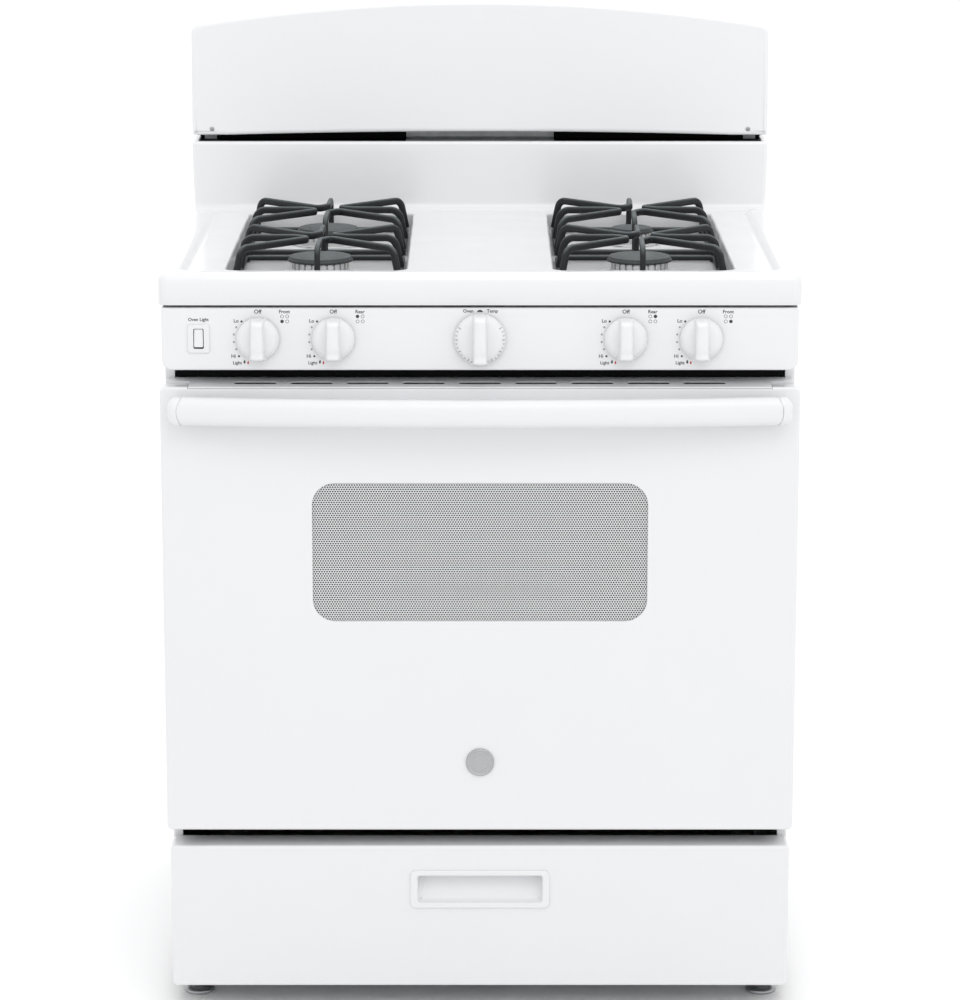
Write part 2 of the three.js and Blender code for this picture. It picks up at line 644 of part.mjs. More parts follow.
// One rod rises from a corner of the ring, runs to the centre, turns back in a hairpin and
// goes down to the middle of the next side.
function grateRod() {
  const { half, top, rod, foot } = GRATE;
  const z = top - rod;
  const bend = 14;
  const reach = bend / Math.tan(Math.PI / 8);
  const tip = reach * Math.SQRT1_2;
  const shoulder = half - 12;
  const path = new THREE.CatmullRomCurve3([
    new THREE.Vector3(-half, -half, foot),
    new THREE.Vector3(-shoulder - 3, -shoulder - 3, z - 6),
    new THREE.Vector3(-shoulder + 6, -shoulder + 6, z),
    new THREE.Vector3(-tip, -tip, z),
    new THREE.Vector3(-reach + bend, -bend, z),
    new THREE.Vector3(-reach, 0, z),
    new THREE.Vector3(-shoulder + 6, 0, z),
    new THREE.Vector3(-shoulder - 3, 0, z - 6),
    new THREE.Vector3(-half, 0, foot),
  ], false, 'centripetal');
  const section = polygon(circlePoints(rod, rod, 4));
  return solid(new THREE.ExtrudeGeometry(section, { extrudePath: path, steps: 14, bevelEnabled: false }));
}

// Four rods, each a quarter turn from the last, on a square ring that stands in the well.
function grate() {
  const { half, foot } = GRATE;
  const low = WELL.floor + GAP;
  const ring = cut(
    box(-half - 4, half + 4, -half - 4, half + 4, low, foot + 2),
    box(-half + 3, half - 3, -half + 3, half - 3, low - 1, foot + 3),
  );
  const rods = [0, 90, 180, 270].map((angle) => grateRod().rotate([0, 0, angle]));
  return join(ring, ...rods);
}

// ---- backguard ----------------------------------------------------------------------------
// Square feet, and round shoulders that meet a shallow arch.
function archedOutline(half, bottom, shoulder, top, corner) {
  const chord = half - corner;
  const rise = top - shoulder;
  const radius = (chord * chord + rise * rise) / (2 * rise);
  const spread = Math.asin(chord / radius);
  const centre = top - radius;
  const shape = new THREE.Shape();
  shape.moveTo(-half, bottom);
  shape.lineTo(half, bottom);
  shape.lineTo(half, shoulder - corner);
  shape.quadraticCurveTo(half, shoulder, chord, shoulder);
  shape.absarc(0, centre, radius, Math.PI / 2 - spread, Math.PI / 2 + spread);
  shape.quadraticCurveTo(-half, shoulder, -half, shoulder - corner);
  return shape;
}

function backguardOutline(inset) {
  const { bottom, shoulder, top, corner } = BACKGUARD;
  return archedOutline(RISER.half - inset, bottom, shoulder - inset, top - inset, corner);
}

// The outline stood up as a block whose front face leans back.
function backguardBlock(inset, front) {
  const { bottom, lean } = BACKGUARD;
  const geometry = extrusion(backguardOutline(inset), 200, 12).rotateX(Math.PI / 2);
  geometry.translate(0, front + 200, -bottom);
  geometry.applyMatrix4(new THREE.Matrix4().makeShear(0, 0, 0, 0, 0, lean));
  return solid(geometry.translate(0, 0, bottom));
}

function backguardPanel() {
  const { front, bottom } = BACKGUARD;
  const half = RISER.half;
  const room = box(-half, half, front - 1, BACKGUARD_BACK, bottom, BACKGUARD.top + 1);
  const hollow = box(-half + SHEET, half - SHEET, front + 20, DEPTH, bottom - 1, bottom + 10);
  return cut(
    backguardBlock(0, front).intersect(room),
    backguardBlock(SHEET, front + SHEET).intersect(room.translate([0, 5, SHEET])),
    hollow,
  );
}

function backguardRearCover() {
  const { half, bottom, shoulder, top, louvres, pitch } = REAR_COVER;
  const outline = archedOutline(half, bottom, shoulder, top, BACKGUARD.corner);
  const plate = alongY(outline, DEPTH - SHEET, DEPTH);
  const posts = [-1, 1].map((side) => (
    sideBox(side, 350, 366, RISER.front + RISER.shelf + 8, DEPTH - 1, COOKTOP_Z + GAP, 1140)));
  const slots = [];
  for (let i = 0; i < louvres; i += 1) {
    const x = (i - (louvres - 1) / 2) * pitch;
    slots.push(box(x - 30, x + 30, DEPTH - 3, DEPTH + 1, 960, 968));
  }
  return cut(join(plate, ...posts), ...slots);
}

// ---- drawer -------------------------------------------------------------------------------
function drawerFront() {
  const half = BODY_WIDTH / 2;
  const { bottom, top, thick } = DRAWER;
  const hole = PULL_HOLE;
  const skin = cut(
    alongY(roundedRectangle(-half, half, bottom, top, 5), 0, thick),
    box(-half + SHEET, half - SHEET, SHEET, thick + 1, bottom + SHEET, top - SHEET),
  );
  return cut(skin, box(-hole.half - GAP, hole.half + GAP, -1, SHEET + 1, hole.bottom - GAP, hole.top + GAP));
}

function drawerPull() {
  const { half, bottom, top, depth } = PULL;
  const hole = PULL_HOLE;
  const bezel = alongY(roundedRectangle(-half, half, bottom, top, 8), -2.5, -GAP);
  const cup = box(-hole.half, hole.half, -1, depth, hole.bottom, hole.top);
  const recess = box(-hole.half + SHEET, hole.half - SHEET, -3, depth - SHEET,
    hole.bottom + SHEET, hole.top - SHEET);
  return cut(join(bezel, cup), recess);
}

function drawerTray() {
  const { tray, trayFloor, trayTop, thick, back } = DRAWER;
  const front = thick + GAP;
  const pan = cut(
    box(-tray, tray, front, back, trayFloor, trayTop),
    box(-tray + SHEET, tray - SHEET, front + SHEET, back - SHEET, trayFloor + SHEET, trayTop + 1),
  );
  const runners = [-1, 1].map((side) => (
    sideBox(side, tray - 1, RAIL.inner + 12, thick + 6, back - 10, RAIL.top + GAP, RAIL.top + GAP + 2)));
  return join(pan, ...runners);
}

// ---- assembly -----------------------------------------------------------------------------
function addBody() {
  add('side_panel_left', sidePanel(-1), 'whitePaint');
  add('side_panel_right', sidePanel(1), 'whitePaint');
  add('rear_panel', rearPanel(), 'galvanised');
  add('base_frame', baseFrame(), 'galvanised');
  for (const [end, y] of [['front', LEG.front], ['rear', LEG.rear]]) {
    for (const [hand, x] of [['left', -LEG.x], ['right', LEG.x]]) {
      add(`leveling_leg_${end}_${hand}`, levelingLeg(), 'steel').position.set(x, y, 0);
    }
  }
  add('cord_gland', cordGland(), 'rubber').position.set(CORD_GLAND.x, 0, CORD_GLAND.z);
}

function addOven() {
  add('oven_liner', ovenLiner(), 'blackEnamel');
  add('oven_floor', ovenFloor(), 'blackEnamel');
  add('oven_burner', ovenBurner(), 'steel');
  add('oven_insulation', ovenInsulation(), 'wool');
  add('oven_lamp', ovenLamp(), 'glass').position.set(LAMP.x, OVEN.back + 18, LAMP.z);
  add('front_frame', frontFrame(), 'blackEnamel');
  add('door_gasket', doorGasket(), 'rope');
  for (const [name, level] of Object.entries(RACK_LEVELS)) {
    add(`oven_rack_${name}`, ovenRack(), 'chrome').position.z = level + 3 + GAP;
  }
}

function addDoor() {
  const door = new THREE.Group();
  add('door_outer_panel', doorOuterPanel(), 'porcelain', door);
  add('door_top_trim', doorTopTrim(), 'whitePaint', door);
  add('door_outer_glass', doorOuterGlass(), 'glass', door);
  add('door_inner_panel', doorInnerPanel(), 'blackEnamel', door);
  add('door_inner_glass', doorInnerGlass(), 'glass', door);
  add('door_handle', doorHandle(), 'whitePlastic', door);
  add('hinge_arm_left', hingeArm(-1), 'steel', door);
  add('hinge_arm_right', hingeArm(1), 'steel', door);
  const badge = add('door_badge', doorBadge(), 'aluminium', door);
  badge.position.z = BADGE.z;
  badge.rotation.x = Math.PI / 2;
  range.add(door);
}

function addKnob(name, x, radius, depth) {
  const stem = add(`${name}_valve_stem`, valveStem(), 'brass');
  stem.position.set(x, STEM.back, KNOB_Z);
  stem.rotation.x = Math.PI / 2;
  const cap = add(`${name}_knob`, knob(radius, depth), 'whitePlastic');
  cap.position.set(x, KNOB_BACK, KNOB_Z);
  cap.rotation.x = Math.PI / 2;
}

function addControls() {
  add('control_panel', controlPanel(), 'whitePaint');
  add('gas_manifold', gasManifold(), 'aluminium');
  add('pressure_regulator', pressureRegulator(), 'aluminium');
  add('oven_light_bezel', switchBezel(), 'whitePlastic').position.set(SWITCH_X, 0, KNOB_Z);
  const rocker = add('oven_light_switch', switchRocker(), 'whitePlastic');
  rocker.position.set(SWITCH_X, ROCKER.pivot, KNOB_Z);
  rocker.rotation.x = THREE.MathUtils.degToRad(-ROCKER.tilt);
  for (const [place, x] of Object.entries(BURNER_KNOBS)) {
    addKnob(place, x, KNOB_RADIUS, 26);
  }
  addKnob('oven', 0, OVEN_KNOB_RADIUS, 28);
}

function addCooktop() {
  add('cooktop', cooktop(), 'porcelain');
  for (const end of ['front', 'rear']) {
    for (const [hand, side] of [['left', -1], ['right', 1]]) {
      const place = `${end}_${hand}`;
      const radius = place === 'rear_right' ? SMALL_BURNER : LARGE_BURNER;
      const pieces = [
        add(`${place}_burner_head`, burnerHead(radius), 'aluminium'),
        add(`${place}_burner_cap`, burnerCap(radius), 'castIron'),
        add(`${place}_grate`, grate(), 'castIron'),
      ];
      for (const piece of pieces) {
        piece.position.set(side * BURNER.x, BURNER[end], 0);
      }
    }
  }
  add('backguard_panel', backguardPanel(), 'porcelain');
  add('backguard_rear_cover', backguardRearCover(), 'galvanised');
}

function addDrawer() {
  const drawer = new THREE.Group();
  add('drawer_front', drawerFront(), 'whitePaint', drawer);
  add('drawer_pull', drawerPull(), 'whitePlastic', drawer);
  add('drawer_tray', drawerTray(), 'galvanised', drawer);
  range.add(drawer);
}

addBody();
addOven();
addDoor();
addControls();
addCooktop();
addDrawer();
range.position.y = (HANDLE_REACH - DEPTH) / 2;

export default range;
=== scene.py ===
"""The looks of a freestanding gas range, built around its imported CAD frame.

Every piece is drawn in millimetres as the CAD is: x to the right, y back from the door's front
plane, z up from the floor. build() turns it into metres in the row frame.
"""
import math

import bmesh
import bpy
from mathutils import Matrix, Vector
from mathutils.geometry import delaunay_2d_cdt


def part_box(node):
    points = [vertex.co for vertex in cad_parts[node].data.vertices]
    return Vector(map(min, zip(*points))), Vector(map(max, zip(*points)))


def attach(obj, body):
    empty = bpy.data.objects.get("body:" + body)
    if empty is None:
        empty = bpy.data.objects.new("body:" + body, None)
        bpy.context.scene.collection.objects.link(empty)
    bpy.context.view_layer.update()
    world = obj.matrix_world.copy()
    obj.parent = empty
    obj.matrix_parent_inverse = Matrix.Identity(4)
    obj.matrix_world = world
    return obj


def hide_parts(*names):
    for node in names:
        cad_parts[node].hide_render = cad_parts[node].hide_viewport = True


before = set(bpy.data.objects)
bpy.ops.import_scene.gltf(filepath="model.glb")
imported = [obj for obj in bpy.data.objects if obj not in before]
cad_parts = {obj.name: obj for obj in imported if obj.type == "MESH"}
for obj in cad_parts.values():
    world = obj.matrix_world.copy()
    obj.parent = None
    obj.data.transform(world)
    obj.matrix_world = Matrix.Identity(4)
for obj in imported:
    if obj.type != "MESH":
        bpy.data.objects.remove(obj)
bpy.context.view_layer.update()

MM = 0.001
DOOR_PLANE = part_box("door_outer_panel")[0].y


# ---- places from the frame ------------------------------------------------------------------
class Box:
    """A CAD node's box in drawing millimetres."""

    def __init__(self, node):
        low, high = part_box(node)
        self.x0, self.x1 = low.x / MM, high.x / MM
        self.y0, self.y1 = (low.y - DOOR_PLANE) / MM, (high.y - DOOR_PLANE) / MM
        self.z0, self.z1 = low.z / MM, high.z / MM
        self.x = (self.x0 + self.x1) / 2
        self.y = (self.y0 + self.y1) / 2
        self.z = (self.z0 + self.z1) / 2
        self.half = (self.x1 - self.x0) / 2


def to_row(point):
    return Vector((point[0] * MM, point[1] * MM + DOOR_PLANE, point[2] * MM))


# ---- node materials -------------------------------------------------------------------------
class Look:
    """A Principled material and short calls for the nodes that feed it."""

    def __init__(self, name, **sockets):
        self.material = bpy.data.materials.new(name)
        self.material.use_nodes = True
        self.tree = self.material.node_tree
        self.shader = self.tree.nodes["Principled BSDF"]
        for socket, value in sockets.items():
            self.shader.inputs[socket.replace("_", " ")].default_value = value
        self.place = self.tree.nodes.new("ShaderNodeTexCoord").outputs["Object"]

    def node(self, kind, settings, **inputs):
        made = self.tree.nodes.new("ShaderNode" + kind)
        for key, value in settings.items():
            setattr(made, key, value)
        for key, value in inputs.items():
            by_number = key[0] == "i" and key[1:].isdigit()
            self.feed(made.inputs[int(key[1:]) if by_number else key], value)
        return made

    def feed(self, socket, value):
        if isinstance(value, bpy.types.NodeSocket):
            self.tree.links.new(value, socket)
        else:
            socket.default_value = value

    def math(self, operation, a, b=0.0):
        return self.node("Math", {"operation": operation}, i0=a, i1=b).outputs[0]

    def stretched(self, stretch):
        """The piece's own coordinates, stretched along an axis by a smaller factor."""
        return self.node("Mapping", {}, Vector=self.place, Scale=stretch).outputs[0]

    def noise(self, size, detail=3.0, stretch=None):
        """Soft noise from 0 to 1 whose features are about size metres across."""
        place = self.stretched(stretch) if stretch else self.place
        made = self.node("TexNoise", {}, Vector=place, Scale=1 / size, Detail=detail)
        return made.outputs[0]

    def cells(self, size):
        return self.node("TexVoronoi", {}, Vector=self.place, Scale=1 / size).outputs

    def between(self, value, low, high, out_low, out_high):
        made = self.node("MapRange", {}, i0=value, i1=low, i2=high, i3=out_low, i4=out_high)
        return made.outputs[0]

    def blend(self, factor, a, b):
        made = self.node("MixRGB", {}, Fac=factor, Color1=a, Color2=b)
        return made.outputs[0]

    def vary(self, colour, amount, size, detail=3.0, stretch=None):
        """The colour, a little darker and lighter in soft patches."""
        dark = tuple(c * (1 - amount) for c in colour) + (1.0,)
        light = tuple(min(1.0, c * (1 + amount)) for c in colour) + (1.0,)
        return self.blend(self.noise(size, detail, stretch), dark, light)

    def colour(self, value):
        self.feed(self.shader.inputs["Base Color"], value)
        return self

    def painted_top_light_and_side_shade(self, side, top, amount, size):
        """Painted light and shade: faces that look up, by the piece's own normal, take the lighter
        tone and the sides the darker one, as if lit from above.
        """
        normal = self.tree.nodes.new("ShaderNodeTexCoord").outputs["Normal"]
        up = self.node("SeparateXYZ", {}, Vector=normal).outputs[2]
        share = self.between(up, 0.35, 0.9, 0.0, 1.0)
        low, high = self.vary(side, amount, size), self.vary(top, amount, size)
        return self.colour(self.blend(share, low, high))

    def roughness(self, low, high, size, detail=3.0, stretch=None):
        value = self.between(self.noise(size, detail, stretch), 0.3, 0.7, low, high)
        self.feed(self.shader.inputs["Roughness"], value)
        return self

    def bump(self, height, depth):
        """Relief of depth metres from a height of 0 to 1, laid over any relief already there."""
        socket = self.shader.inputs["Normal"]
        earlier = socket.links[0].from_socket if socket.links else None
        made = self.node("Bump", {}, Height=height, Distance=depth, Strength=1.0)
        if earlier:
            self.tree.links.new(earlier, made.inputs["Normal"])
        self.tree.links.new(made.outputs[0], socket)
        return self


def plain_look(name, colour, rough, bumps, **sockets):
    """A look with varied colour and roughness, and a relief for each of bumps.

    colour, rough and each of bumps hold what vary(), roughness() and noise() take; the last
    value of a bump is its depth.
    """
    look = Look(name, **sockets)
    look.colour(look.vary(*colour))
    look.roughness(*rough)
    for *noise, depth in bumps:
        look.bump(look.noise(*noise), depth)
    return look.material


def white_paint():
    look = Look("white_powder_paint", Coat_Weight=0.15, Coat_Roughness=0.2)
    look.colour(look.vary((0.733, 0.739, 0.753), 0.008, 0.12))
    look.roughness(0.3, 0.42, 0.02)
    look.bump(look.noise(0.0022, 3.0), 0.00004)
    return look.bump(look.cells(0.0011)[0], 0.00001).material


def speckled_enamel():
    """Dark oven enamel with fine pale specks fired into it."""
    look = Look("speckled_dark_enamel", Coat_Weight=0.5, Coat_Roughness=0.08)
    base = look.vary((0.022, 0.024, 0.028), 0.25, 0.05)
    speck = look.between(look.cells(0.0035)[0], 0.1, 0.16, 1.0, 0.0)
    rare = look.math("GREATER_THAN", look.noise(0.006, 1.0), 0.5)
    look.colour(look.blend(look.math("MULTIPLY", speck, rare), base, (0.42, 0.44, 0.46, 1.0)))
    look.roughness(0.22, 0.38, 0.02)
    return look.bump(look.noise(0.003, 2.0), 0.00006).material


def galvanised():
    """Zinc-coated sheet with its flat, frosty crystals."""
    look = Look("galvanised_sheet", Metallic=0.85)
    tone = look.blend(look.cells(0.013)[1], (0.38, 0.4, 0.41, 1.0), (0.55, 0.57, 0.58, 1.0))
    look.colour(look.blend(look.noise(0.004, 4.0), tone, (0.5, 0.51, 0.52, 1.0)))
    look.roughness(0.38, 0.58, 0.009)
    return look.bump(look.noise(0.0012, 3.0), 0.00002).material


def grate_iron():
    """Matt slate-grey porcelain fired over round steel rod."""
    look = Look("slate_grate_enamel", Specular_IOR_Level=0.3)
    # Painted light and shade: lighter tops and near-black sides stand in for light from above.
    look.painted_top_light_and_side_shade((0.009, 0.011, 0.012), (0.085, 0.1, 0.106), 0.2, 0.008)
    look.roughness(0.4, 0.58, 0.005)
    look.bump(look.noise(0.0011, 4.0), 0.00009)
    return look.bump(look.noise(0.006, 2.0), 0.0002).material


def cap_enamel():
    look = Look("matt_cap_enamel", Specular_IOR_Level=0.35)
    # Painted light and shade: lighter tops and darker sides stand in for light from above.
    look.painted_top_light_and_side_shade((0.02, 0.023, 0.024), (0.12, 0.134, 0.139), 0.14, 0.007)
    look.roughness(0.5, 0.66, 0.004)
    return look.bump(look.noise(0.0008, 4.0), 0.00006).material


def cast_aluminium():
    return plain_look("cast_aluminium", ((0.66, 0.67, 0.67), 0.08, 0.006), (0.36, 0.52, 0.003),
                      [(0.0009, 4.0, 0.00006)], Metallic=0.75)


def dotted_glass(pitch=3.05, row=2.65, dot=1.15):
    """Oven window glass with white frit that leaves staggered rows of clear round dots."""
    look = Look("dotted_window_glass", Coat_Weight=0.8, Coat_Roughness=0.03)
    x, _, z = look.node("SeparateXYZ", {}, Vector=look.place).outputs
    along = look.math("DIVIDE", x, pitch * MM)
    up = look.math("DIVIDE", z, row * MM)
    stagger = look.math("MULTIPLY", look.math("PINGPONG", look.math("FLOOR", up), 1.0), 0.5)
    from_left = look.math("FRACT", look.math("ADD", along, stagger))
    across = look.math("MULTIPLY", look.math("SUBTRACT", from_left, 0.5), pitch)
    down = look.math("MULTIPLY", look.math("SUBTRACT", look.math("FRACT", up), 0.5), row)
    across_squared = look.math("MULTIPLY", across, across)
    down_squared = look.math("MULTIPLY", down, down)
    reach = look.math("SQRT", look.math("ADD", across_squared, down_squared))
    clear = look.between(reach, dot - 0.08, dot + 0.08, 1.0, 0.0)
    frit = look.vary((0.74, 0.75, 0.75), 0.02, 0.02)
    through = look.vary((0.012, 0.013, 0.014), 0.3, 0.1)
    look.colour(look.blend(clear, frit, through))
    look.roughness(0.1, 0.16, 0.05)
    return look.bump(look.math("SUBTRACT", 1.0, clear), 0.00002).material


def rope():
    """Braided glass-fibre door seal."""
    look = Look("braided_fibre_rope", Sheen_Weight=0.2, Sheen_Roughness=0.5)
    braid = look.node("TexWave", {"bands_direction": "DIAGONAL"}, Vector=look.place,
                      Scale=160.0, Distortion=1.5).outputs[1]
    look.colour(look.blend(braid, (0.13, 0.13, 0.125, 1.0), (0.3, 0.3, 0.29, 1.0)))
    look.roughness(0.75, 0.92, 0.002)
    return look.bump(braid, 0.0004).material


def ink(name, colour):
    """Screen-printed ink, slightly uneven."""
    return plain_look(name, (colour, 0.12, 0.0009), (0.4, 0.5, 0.002), [(0.0004, 2.0, 0.000005)])


ALONG_Z = (1.0, 1.0, 0.1)  # stretches a grain along the piece's own z
ALONG_X = (0.04, 1.0, 1.0)
LOOKS = {
    "porcelain_white": plain_look(
        "white_porcelain_enamel", ((0.733, 0.739, 0.753), 0.008, 0.16), (0.21, 0.235, 0.05),
        [(0.02, 1.0, 0.000006), (0.0009, 2.0, 0.000003)], Coat_Weight=0.35, Coat_Roughness=0.06),
    "paint_white": white_paint(),
    "plastic_white": plain_look(
        "white_moulded_plastic", ((0.722, 0.728, 0.741), 0.006, 0.04), (0.29, 0.33, 0.04),
        [(0.0016, 2.0, 0.000002)]),
    "enamel_black": plain_look(
        "black_enamel", ((0.003, 0.0032, 0.0034), 0.3, 0.03), (0.45, 0.6, 0.015),
        [(0.0015, 3.0, 0.00003)], Specular_IOR_Level=0.08),
    "galvanised_steel": galvanised(),
    "plain_steel": plain_look(
        "rolled_steel", ((0.36, 0.37, 0.38), 0.2, 0.01, 4.0, (1.0, 1.0, 0.12)),
        (0.3, 0.5, 0.006, 4.0, ALONG_Z), [(0.0008, 3.0, ALONG_Z, 0.00002)], Metallic=1.0),
    "grate_iron": grate_iron(),
    "cap_enamel": cap_enamel(),
    "burner_aluminium": cast_aluminium(),
    "manifold_aluminium": cast_aluminium(),
    "badge_aluminium": plain_look(
        "brushed_aluminium", ((0.42, 0.43, 0.44), 0.1, 0.0006, 3.0, ALONG_X),
        (0.34, 0.5, 0.0008, 3.0, ALONG_X), [(0.0004, 2.0, ALONG_X, 0.00002)], Metallic=0.6),
    "rack_chrome": plain_look(
        "bright_chrome_wire", ((0.72, 0.73, 0.74), 0.04, 0.02), (0.1, 0.2, 0.01),
        [(0.0015, 2.0, 0.00002)], Metallic=1.0),
    "stem_brass": plain_look(
        "turned_brass", ((0.56, 0.4, 0.16), 0.12, 0.004), (0.26, 0.42, 0.003),
        [(0.0007, 3.0, (1.0, 6.0, 1.0), 0.00002)], Metallic=1.0),
    "window_glass": plain_look(
        "dark_heat_glass", ((0.016, 0.018, 0.019), 0.2, 0.1), (0.06, 0.1, 0.08),
        [(0.12, 1.0, 0.0001)], Coat_Weight=0.6, Coat_Roughness=0.02),
    "lamp_glass": plain_look(
        "ribbed_lamp_glass", ((0.8, 0.78, 0.7), 0.05, 0.01), (0.12, 0.2, 0.01),
        [(0.004, 1.0, (1.0, 0.1, 1.0), 0.0002)], Transmission_Weight=0.5, IOR=1.5),
    "insulation_wool": plain_look(
        "glass_wool", ((0.62, 0.55, 0.32), 0.3, 0.012, 6.0), (0.85, 0.98, 0.01),
        [(0.004, 8.0, 0.0012)], Sheen_Weight=0.3, Sheen_Roughness=0.6),
    "gasket_rope": rope(),
    "gland_rubber": plain_look(
        "black_rubber", ((0.02, 0.02, 0.021), 0.2, 0.006), (0.6, 0.78, 0.004),
        [(0.0008, 3.0, 0.00004)]),
}
SPECKLED = speckled_enamel()
DOTTED = dotted_glass()
DARK_INK = ink("dark_grey_ink", (0.03, 0.03, 0.032))
PALE_INK = ink("pale_grey_ink", (0.3, 0.3, 0.31))
DIAL_INK = ink("dial_grey_ink", (0.12, 0.12, 0.125))
RED_INK = ink("red_ink", (0.5, 0.03, 0.03))
CERAMIC = plain_look("white_igniter_ceramic", ((0.78, 0.76, 0.7), 0.05, 0.003),
                     (0.3, 0.45, 0.003), [(0.0007, 3.0, 0.00002)])
PULL_PAINT = white_paint()


def dress_frame():
    """Every CAD node that stays in sight takes its own slot's material."""
    for name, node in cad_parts.items():
        slot = node.data.materials[0].name
        dark = name in ("oven_liner", "oven_floor")
        node.data.materials.clear()
        node.data.materials.append(SPECKLED if dark else LOOKS[slot])


# ---- drawing --------------------------------------------------------------------------------
class Shape:
    """Points and faces in drawing millimetres, gathered until they are built as one piece."""

    def __init__(self):
        self.points = []
        self.faces = []

    def add(self, points, faces):
        start = len(self.points)
        self.points += [tuple(p) for p in points]
        self.faces += [tuple(i + start for i in face) for face in faces]
        return self

    def rings(self, rings, closed=True, low_cap=False, high_cap=False):
        """Joins rings of equal length into a skin, with flat caps on its ends if asked."""
        count = len(rings[0])
        points = [p for ring in rings for p in ring]
        faces = []
        for r in range(len(rings) - 1):
            low, high = r * count, (r + 1) * count
            for i in range(count if closed else count - 1):
                j = (i + 1) % count
                faces.append((low + i, low + j, high + j, high + i))
        if low_cap:
            faces.append(tuple(reversed(range(count))))
        if high_cap:
            faces.append(tuple(range((len(rings) - 1) * count, len(rings) * count)))
        return self.add(points, faces)

    def body(self, rings):
        """A closed body: rings joined into a skin with a flat cap on each end."""
        return self.rings(rings, True, True, True)

    def tiers(self, outline, levels, place):
        """A skin through an outline at each [inset, level], put in space by place(a, b, level)."""
        return self.rings([[place(a, b, c) for a, b in shrunk(outline, inset)]
                           for inset, c in levels])

    def fill(self, outline, holes, place, level):
        """A flat face inside the outline and outside the holes, by place(a, b, level)."""
        flat = [Vector(p) for loop in [outline] + holes for p in loop]
        edges = []
        start = 0
        for loop in [outline] + holes:
            count = len(loop)
            edges += [(start + i, start + (i + 1) % count) for i in range(count)]
            start += count
        points, _, faces = delaunay_2d_cdt(flat, edges, [], 1, 1e-7)[:3]
        kept = []
        for face in faces:
            middle = sum((points[i] for i in face), Vector((0, 0))) / len(face)
            if not any(inside(middle, hole) for hole in holes):
                kept.append(tuple(face))
        return self.add([place(p.x, p.y, level) for p in points], kept)

    def turned(self, profile, place, steps=48, low_cap=True, high_cap=True):
        """[radius, height] points turned about an axis and put in space by place(a, b, height)."""
        rings = []
        for radius, height in profile:
            ring = []
            for i in range(steps):
                angle = math.tau * i / steps
                ring.append(place(radius * math.cos(angle), radius * math.sin(angle), height))
            rings.append(ring)
        return self.rings(rings, True, low_cap, high_cap)

    def rod(self, path, section, side=None):
        """A section of [side, up] points carried along a path without twisting."""
        path = [Vector(p) for p in path]
        tangents = []
        for i in range(len(path)):
            tangents.append((path[min(i + 1, len(path) - 1)] - path[max(i - 1, 0)]).normalized())
        up = Vector((0, 0, 1)) if abs(tangents[0].z) < 0.9 else Vector((0, 1, 0))
        side = Vector(side) if side else tangents[0].cross(up).normalized()
        rings = []
        for i, (point, tangent) in enumerate(zip(path, tangents)):
            if i:
                side = tangents[i - 1].rotation_difference(tangent) @ side
            up = side.cross(tangent)
            rings.append([point + side * a + up * b for a, b in section])
        return self.body(rings)

    def block(self, x0, x1, y0, y1, z0, z1, edge=0.6):
        """A box with its edges eased."""
        rings = []
        for inset, z in ((edge, z0), (0, z0 + edge), (0, z1 - edge), (edge, z1)):
            loop = rounded(x0 + inset, x1 - inset, y0 + inset, y1 - inset, edge, 2)
            rings.append([(a, b, z) for a, b in loop])
        return self.body(rings)


def inside(point, loop):
    """Whether a flat point lies inside a closed loop."""
    found = False
    for (ax, ay), (bx, by) in zip(loop, loop[1:] + loop[:1]):
        if (ay > point.y) != (by > point.y):
            if point.x < ax + (point.y - ay) * (bx - ax) / (by - ay):
                found = not found
    return found


def thickened(mesh, thickness):
    """An open skin as a closed sheet that has its thickness behind its face."""
    holder = bpy.data.objects.new("holder", mesh)
    bpy.context.scene.collection.objects.link(holder)
    modifier = holder.modifiers.new("sheet", "SOLIDIFY")
    modifier.thickness = thickness
    modifier.offset = -1.0
    bpy.context.view_layer.update()
    result = bpy.data.meshes.new_from_object(
        holder.evaluated_get(bpy.context.evaluated_depsgraph_get()))
    bpy.data.objects.remove(holder)
    return result


def soften(mesh, angle):
    """Smooth shading that stays crisp at edges sharper than the angle in degrees."""
    work = bmesh.new()
    work.from_mesh(mesh)
    for face in work.faces:
        face.smooth = True
    for edge in work.edges:
        edge.smooth = len(edge.link_faces) == 2 and edge.calc_face_angle() < math.radians(angle)
    work.to_mesh(mesh)
    work.free()


def build(name, shape, body, slot, look=None, replaces=(), sharp=38, thickness=0):
    """Makes a piece from a shape. With a thickness it is a sheet that thickens away from its face."""
    mesh = bpy.data.meshes.new(name)
    mesh.from_pydata([to_row(p) for p in shape.points], [], shape.faces)
    work = bmesh.new()
    work.from_mesh(mesh)
    bmesh.ops.remove_doubles(work, verts=work.verts, dist=1e-6)
    bmesh.ops.dissolve_degenerate(work, edges=work.edges, dist=1e-7)
    bmesh.ops.recalc_face_normals(work, faces=work.faces)
    work.to_mesh(mesh)
    work.free()
    if thickness:
        mesh = thickened(mesh, thickness * MM)
    soften(mesh, sharp)
    piece = bpy.data.objects.new(name, mesh)
    bpy.context.scene.collection.objects.link(piece)
    mesh.materials.append(look or LOOKS[slot])
    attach(piece, body)
    if replaces:
        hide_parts(*replaces)
    return piece


# ---- outlines and profiles ------------------------------------------------------------------
def arc(a, b, radius, start, end, steps):
    """Points on an arc, from one angle to another in degrees."""
    points = []
    for i in range(steps + 1):
        angle = math.radians(start + (end - start) * i / steps)
        points.append((a + radius * math.cos(angle), b + radius * math.sin(angle)))
    return points


def rounded(a0, a1, b0, b1, radius, steps=8, upper=None):
    """A rectangle with round corners, anticlockwise; its upper corners may have their own radius."""
    upper = radius if upper is None else upper
    return (arc(a0 + radius, b0 + radius, radius, 180, 270, steps)
            + arc(a1 - radius, b0 + radius, radius, 270, 360, steps)
            + arc(a1 - upper, b1 - upper, upper, 0, 90, steps)
            + arc(a0 + upper, b1 - upper, upper, 90, 180, steps))


